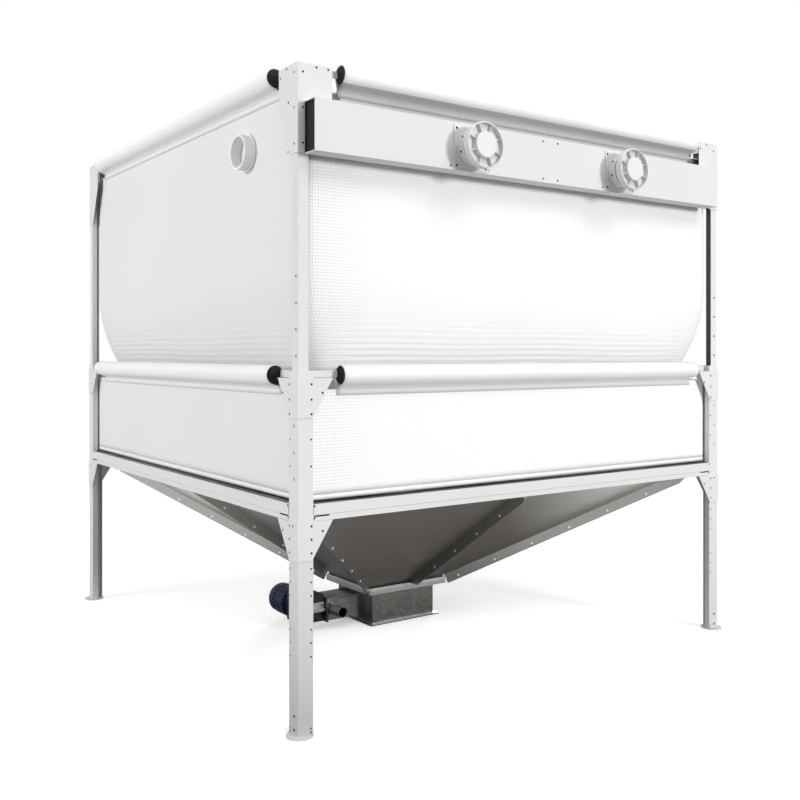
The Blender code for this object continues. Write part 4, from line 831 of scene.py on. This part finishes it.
def boltInto(work, radius, place):
    s = boltSet
    rise, top = radius * s["washerRise"], radius * (s["washerRise"] + s["headRise"])
    wide, head = radius * s["washer"], radius * s["head"]
    spinInto(work, ((0, 0), (wide, 0), (wide, rise * s["washerWall"]), (wide * s["washerTop"], rise), (0, rise)),
             s["steps"], place)
    spinInto(work, ((0, rise * 0.5), (head, rise * 0.5), (head, top - radius * s["chamfer"]),
                    (radius * s["headTop"], top), (0, top)), 6, place)


# flat outlines with rounded corners, stacked into plates and plugs
def roundedOutline(wide, high, corner, steps=5):
    points = []
    for turn, (right, up) in enumerate(((1, 1), (-1, 1), (-1, -1), (1, -1))):
        for i in range(steps + 1):
            angle = math.pi / 2 * (turn + i / steps)
            points.append(Vector((right * (wide / 2 - corner) + corner * math.cos(angle),
                                  up * (high / 2 - corner) + corner * math.sin(angle), 0)))
    return points


def stackInto(work, outlines, place, finish=0, ring=False):
    rings = [[work.verts.new(place @ (point + Vector((0, 0, rise)))) for point in points] for points, rise in outlines]
    pairs = list(zip(rings, rings[1:])) + ([(rings[-1], rings[0])] if ring else [])
    faces = []
    for low, high in pairs:
        for i in range(len(low)):
            j = (i + 1) % len(low)
            faces.append(work.faces.new((low[i], low[j], high[j], high[i])))
    if not ring:
        faces += [work.faces.new(list(reversed(rings[0]))), work.faces.new(rings[-1])]
    for face in faces:
        face.material_index = finish


# the two filling couplings, across the front and up
couplings = {"left": -0.40375, "right": 0.34075}
couplingZ = 1.910

# the fascia's black end plugs, put in its open ends as painted shade, its punched holes, and the screws of the coupling
# plates and collars
fasciaSet = {
    "ends": (-1.0230, 0.9600), "front": 1.1125, "back": 1.0470, "top": 1.9950, "bottom": 1.8300, "sheet": 0.0025,
    "play": 0.0004, "recess": 0.0012, "deep": 0.014, "rim": 0.005, "sunk": 0.004, "corner": 0.003, "chamfer": 0.001,
    "holeRound": 0.0036,
    "holes": ((-0.491, 1.8435), (-0.326, 1.8435), (-0.061, 1.8435), (0.013, 1.8435), (0.254, 1.8435),
              (0.423, 1.8435), (-0.061, 1.9800), (0.013, 1.9800)),
    "plateFront": 1.1158, "plateScrew": 0.064, "plateRound": 0.0042, "collarRound": 0.0605, "collarOut": 1.1320,
    "collarAngles": (148, 199), "collarShare": 0.9}
screwSet = {   # head and socket as shares of the radius
    "sunk": 0.0004, "steps": 20, "head": ((1.0, 0.25), (0.80, 0.48), (0.42, 0.55)),
    "socket": ((0.42, 0.55), (0.36, 0.20), (0.0, 0.20))}


def screwInto(work, radius, place):
    s = screwSet
    head, socket = ([(radius * wide, radius * rise) for wide, rise in s[part]] for part in ("head", "socket"))
    spinInto(work, [(0, -s["sunk"]), (radius, -s["sunk"])] + head, s["steps"], place)
    # the socket's floor is black: painted shade in the recess
    spinInto(work, socket, s["steps"], place, 1)


def makeFasciaDetail():
    s = fasciaSet
    wide = s["front"] - s["back"] - s["sheet"] - s["play"]
    high = s["top"] - s["bottom"] - 2 * (s["sheet"] + s["play"])
    middle = Vector((0, -(s["front"] - s["sheet"] - s["play"] - wide / 2), (s["top"] + s["bottom"]) / 2))
    rim, chamfer = 2 * s["rim"], 2 * s["chamfer"]
    steps = ((0.0, -s["deep"]), (0.0, -s["chamfer"]), (chamfer, 0.0), (rim, 0.0), (rim + chamfer, -s["sunk"]))
    outlines = [(roundedOutline(wide - less, high - less, s["corner"]), rise) for less, rise in steps]
    work = bmesh.new()
    for end, way in zip(s["ends"], (-1, 1)):
        stackInto(work, outlines, facing((way, 0, 0), middle + Vector((end - way * s["recess"], 0, 0))))
    addPiece("fasciaEndShadePlugs", work, [blackPlastic], "upper_frame", smooth=35)
    work = bmesh.new()
    for across, up in s["holes"]:
        holeInto(work, s["holeRound"], front(across, s["front"], up))
    addPiece("fasciaHoles", work, [powderCoat, blackPlastic], "upper_frame", smooth=30)
    work = bmesh.new()
    for across in couplings.values():
        for right, up in quarters:
            screwInto(work, s["plateRound"], front(across + right * s["plateScrew"], s["plateFront"],
                                                   couplingZ + up * s["plateScrew"]))
        for angle in s["collarAngles"]:
            out = Vector((math.cos(math.radians(angle)), 0, math.sin(math.radians(angle))))
            spot = Vector((across, -s["collarOut"], couplingZ)) + out * s["collarRound"]
            screwInto(work, s["plateRound"] * s["collarShare"], facing(out, spot))
    addPiece("couplingScrews", work, [darkCasting, blackPlastic], "upper_frame", smooth=35)


# turning caps: finer turnings inside the solids' outer sizes, with a deeper web and ribs with drawn-in tops
capSet = {
    "steps": 96, "ribs": 8, "ribWide": 0.0032, "ribCorner": 0.0005, "ribFrom": 0.0452, "ribTo": 0.0745,
    "ribLevels": ((1.0, 1.1790), (0.8, 1.1923), (0.5, 1.1935)),
    "hub": ((0.0, 1.1986), (0.0260, 1.1990), (0.0390, 1.1996), (0.0425, 1.1993), (0.0440, 1.1985), (0.0449, 1.1970),
            (0.0453, 1.1945), (0.0460, 1.1820)),
    "web": ((0.0460, 1.1820), (0.0466, 1.1806), (0.0480, 1.1800), (0.0718, 1.1800), (0.0732, 1.1806), (0.0738, 1.1820)),
    "rim": ((0.0738, 1.1820), (0.0740, 1.1952), (0.0745, 1.1964), (0.0756, 1.1968), (0.0772, 1.1964),
            (0.0784, 1.1952), (0.0790, 1.1930), (0.0790, 1.1724), (0.0780, 1.1713), (0.0645, 1.1713),
            (0.0640, 1.1718), (0.0640, 1.1758), (0.0, 1.1758))}


def makeCap(hand):
    s = capSet
    work = bmesh.new()
    middle = Vector((couplings[hand], 0, couplingZ))
    # the web takes the darker copy, which paints shade into the recess between rim and hub
    for finish, part in enumerate(("rim", "web", "hub")):
        spinInto(work, s[part], s["steps"], facing((0, -1, 0), middle), finish % 2)
    bmesh.ops.remove_doubles(work, verts=work.verts, dist=1e-6)
    outlines = [(roundedOutline(s["ribTo"] - s["ribFrom"], s["ribWide"] * share, s["ribCorner"], 1), rise)
                for share, rise in s["ribLevels"]]
    for rib in range(s["ribs"]):
        turn = Matrix.Translation(middle) @ Matrix.Rotation(2 * math.pi * (rib + 0.5) / s["ribs"], 4, "Y")
        stackInto(work, outlines, turn @ facing((0, -1, 0), ((s["ribFrom"] + s["ribTo"]) / 2, 0, 0)))
    cap = addPiece(f"capTurning{hand.title()}", work, [castAlloy, castSkinAndShade], f"cap_{hand}", smooth=35)
    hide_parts(f"turning_cap_{hand}")


# bolts through the standing flanges of the hopper, head on one side and nut on the other
flangeSet = {
    "topHalf": 1.012, "topZ": 0.7293, "lowZ": 0.1573, "across": 0.1675, "out": 0.1425, "depth": 0.028, "face": 0.0022,
    "bolt": 0.0048, "hipShares": (0.088, 0.2265, 0.365, 0.5035, 0.642, 0.7805, 0.919),
    "seamShares": (0.256, 0.418, 0.582, 0.744, 0.906)}


def flangeBolts(work, low, high, shares):
    s = flangeSet
    run = (high - low).normalized()
    side = run.cross(Vector((0, 0, 1))).normalized()
    hang = side.cross(run).normalized()
    hang = hang if hang.z < 0 else -hang
    for share in shares:
        spot = low.lerp(high, share) + hang * s["depth"]
        for way in (-1, 1):
            boltInto(work, s["bolt"], facing(side * way, spot + side * way * s["face"]))


def makeFlangeBolts():
    s = flangeSet
    work = bmesh.new()
    seams = ((1, 0), (-1, 0), (0, 1), (0, -1))
    for spots, shares in ((quarters, s["hipShares"]), (seams, s["seamShares"])):
        for right, up in spots:
            flangeBolts(work, Vector((right * s["across"], up * s["out"], s["lowZ"])),
                        Vector((right * s["topHalf"], up * s["topHalf"], s["topZ"])), shares)
    addPiece("flangeBolts", work, [boltZinc], "stand", smooth=30)


# short tabs that carry the outlet lips on to the hip flanges
tabSet = {"acrossX": (0.1950, 0.2058), "acrossY": (0.1700, 0.1815), "foot": 0.1573, "top": 0.1728, "thick": 0.0020,
          "corner": 0.0004}


def makeOutletTabs():
    s = tabSet
    work = bmesh.new()
    level, high = (s["foot"] + s["top"]) / 2, s["top"] - s["foot"]
    middleX, middleY = sum(s["acrossX"]) / 2, sum(s["acrossY"]) / 2
    alongX = roundedOutline(s["acrossX"][1] - s["acrossX"][0], high, s["corner"], 1)
    alongY = roundedOutline(s["acrossY"][1] - s["acrossY"][0], high, s["corner"], 1)
    for right, up in quarters:
        stackInto(work, ((alongX, -s["thick"]), (alongX, 0.0)),
                  facing((0, up, 0), (right * middleX, up * lipSet["Y"], level)))
        stackInto(work, ((alongY, -s["thick"]), (alongY, 0.0)),
                  facing((right, 0, 0), (right * lipSet["X"], up * middleY, level)))
    addPiece("outletTabs", work, [hopperZinc], "stand")


# short open slots at the beam ends, under the step of the web
slotSet = {   # places are in from the corner and up, then long, high and how far the face stands from the middle
    "cuts": ((0.0900, 0.6890, 0.0560, 0.0046, 1.0480), (0.0628, 0.6830, 0.0052, 0.0074, 1.0480),
             (0.0622, 0.7215, 0.0048, 0.0090, 1.0500)),
    "burr": 0.0006, "burrTop": 0.6, "rise": 0.0003, "floor": 0.00012, "cornerShare": 0.4}


def makeBeamSlots(side, turn):
    s = slotSet
    work = bmesh.new()
    for way in (-1, 1):
        for inward, up, long, high, out in s["cuts"]:
            place = turned(turn) @ front(way * (tankHalf - inward), out, up)
            corner = s["cornerShare"] * min(long, high)
            hole = roundedOutline(long, high, corner)
            edge = roundedOutline(long + 2 * s["burr"], high + 2 * s["burr"], corner + s["burr"])
            # a black floor paints the shade inside the slot
            stackInto(work, ((hole, 0.0), (hole, s["floor"])), place, 1)
            stackInto(work, ((edge, 0.0), (edge, s["rise"] * s["burrTop"]), (hole, s["rise"]), (hole, 0.0)), place, 0,
                      ring=True)
    addPiece(f"beamSlots{side}", work, [powderCoat, blackPlastic], "stand", smooth=30)


# zinc bracket on the gearbox: a plate with a hole over a lipped ledge
gearSet = {"face": 0.0600, "plate": ((-0.4230, -0.3680), (0.0900, 0.1160), 0.0022),
           "ledge": ((-0.4560, -0.3680), (0.0765, 0.0895), 0.012), "corner": 0.002, "topCorner": 0.0016, "foot": 0.0003,
           "chamfer": 0.0006, "hole": (-0.3790, 0.1035, 0.0046)}


def makeGearBracket():
    s = gearSet
    work = bmesh.new()
    for (left, right), (foot, top), thick in (s["plate"], s["ledge"]):
        wide, high, less = right - left, top - foot, 2 * s["chamfer"]
        flat = roundedOutline(wide, high, s["corner"])
        stackInto(work, ((flat, s["foot"]), (flat, thick - s["chamfer"]),
                         (roundedOutline(wide - less, high - less, s["topCorner"]), thick)),
                  front((left + right) / 2, s["face"], (foot + top) / 2))
    across, up, radius = s["hole"]
    holeInto(work, radius, front(across, s["face"] + s["plate"][2], up))
    addPiece("gearBracket", work, [brightSteel, blackPlastic], "stand", smooth=30)


setCamera()
dressSolids()

bag, bagCut, bagArea = makeBag()
skirt, skirtCut, skirtArea = makeSkirt()
hem = makeHem()
hemStitches = makeHemStitches()
for level in sleeveRails:
    for side in sideTurns:
        sleeve, cut = makeSleeve(level, side)
        stitches = makeSleeveStitches(level, side)
    makePlugs(level)
print("cloth sewn: bag", round(bagArea, 2), "m2, skirt", round(skirtArea, 2), "m2")
makeCornerHoles()
for side, turn in sideTurns.items():
    makeBeamSlots(side, turn)
print("holes punched")
makeFasciaDetail()
for hand in couplings:
    makeCap(hand)
makeFlangeBolts()
makeOutletTabs()
makeGearBracket()
print("fittings made")


# plain pale floor that fades into the white ground, and soft studio light
stageSet = {
    "floorReach": 16.0, "floorSteps": 128, "floorZ": -0.0006, "fadeFrom": 2.6, "fadeTo": 6.0, "floorGlow": 0.38,
    "floorSeen": (0.97, 0.97, 0.97, 1), "floorBounce": (0.32, 0.32, 0.32, 1), "floorPaintedShadow": (0.19, 0.18, 0.17, 1),
    "clearFrom": 0.75, "clearTo": 1.8, "sky": 0.32, "aim": (0, 0, 1.1),
    "lamps": (("keyPanel", (5.6, -18.4, 4.2), (2.8, 2.8), 1920), ("softPanel", (1.5, -12.5, 13.0), (14.0, 8.0), 1200),
              ("leftPanel", (-8.6, 0.6, 3.0), (4.5, 4.0), 445), ("topPanel", (0.0, 0.0, 6.4), (4.0, 4.0), 80),
              ("backPanel", (8.0, 9.0, 4.6), (5.0, 4.0), 720))}


def seenRays(tree):
    rays = put(tree, "LightPath").outputs
    straight = calc(tree, "MAXIMUM", rays["Is Camera Ray"], rays["Is Glossy Ray"])
    return calc(tree, "MAXIMUM", straight, rays["Is Transmission Ray"])


def makeStage():
    s = stageSet
    work = bmesh.new()
    bmesh.ops.create_circle(work, cap_ends=True, segments=s["floorSteps"], radius=s["floorReach"])
    mesh = bpy.data.meshes.new("studioFloor")
    work.to_mesh(mesh)
    work.free()
    floor = bpy.data.objects.new("studioFloor", mesh)
    floor.location.z = s["floorZ"]
    scene.collection.objects.link(floor)
    material, tree, shader = newMaterial("floorPaper")
    far = vector(tree, "LENGTH", objectPlace(tree), result="Value")
    fade = spread(tree, far, 0.0, 1.0, s["fadeFrom"], s["fadeTo"])
    seen = seenRays(tree)
    rays = put(tree, "LightPath").outputs      # reflections see white ground round the tank and a painted shadow under it
    away = spread(tree, far, 0.0, 1.0, s["clearFrom"], s["clearTo"])
    clear = times(tree, rays["Is Glossy Ray"], away)
    shadowedBelow = times(tree, rays["Is Glossy Ray"], calc(tree, "SUBTRACT", 1.0, away))
    colour = blendColour(tree, seen, s["floorBounce"], s["floorSeen"])
    tree.links.new(blendColour(tree, shadowedBelow, colour, s["floorPaintedShadow"]), shader.inputs["Base Color"])
    lifted = times(tree, calc(tree, "MAXIMUM", rays["Is Camera Ray"], clear), s["floorGlow"])
    tree.links.new(lifted, shader.inputs["Emission Strength"])
    shader.inputs["Emission Color"].default_value = (1, 1, 1, 1)
    shader.inputs["Roughness"].default_value = 0.9
    shader.inputs["Specular IOR Level"].default_value = 0.0
    hidden = put(tree, "BsdfTransparent")
    mix = put(tree, "MixShader", None, {0: fade, 1: shader.outputs[0], 2: hidden.outputs[0]})
    tree.links.new(mix.outputs[0], tree.nodes["Material Output"].inputs["Surface"])
    mesh.materials.append(material)

    world = bpy.data.worlds.new("studioWorld")
    scene.world = world
    world.use_nodes = True
    tree = world.node_tree
    seen = seenRays(tree)
    light = tree.nodes["Background"]
    light.inputs["Color"].default_value, light.inputs["Strength"].default_value = (1, 1, 1, 1), s["sky"]
    white = put(tree, "Background", None, {"Color": (1, 1, 1, 1), "Strength": 1.0})
    mix = put(tree, "MixShader", None, {0: seen, 1: light.outputs[0], 2: white.outputs[0]})
    tree.links.new(mix.outputs[0], tree.nodes["World Output"].inputs["Surface"])

    for name, spot, size, power in s["lamps"]:
        lamp = bpy.data.lights.new(name, "AREA")
        lamp.shape, lamp.size, lamp.size_y, lamp.energy = "RECTANGLE", size[0], size[1], power
        panel = bpy.data.objects.new(name, lamp)
        panel.location = spot
        panel.rotation_euler = (Vector(s["aim"]) - Vector(spot)).to_track_quat("-Z", "Y").to_euler()
        scene.collection.objects.link(panel)
    scene.view_settings.view_transform = "Standard"


makeStage()
print("stage lit")
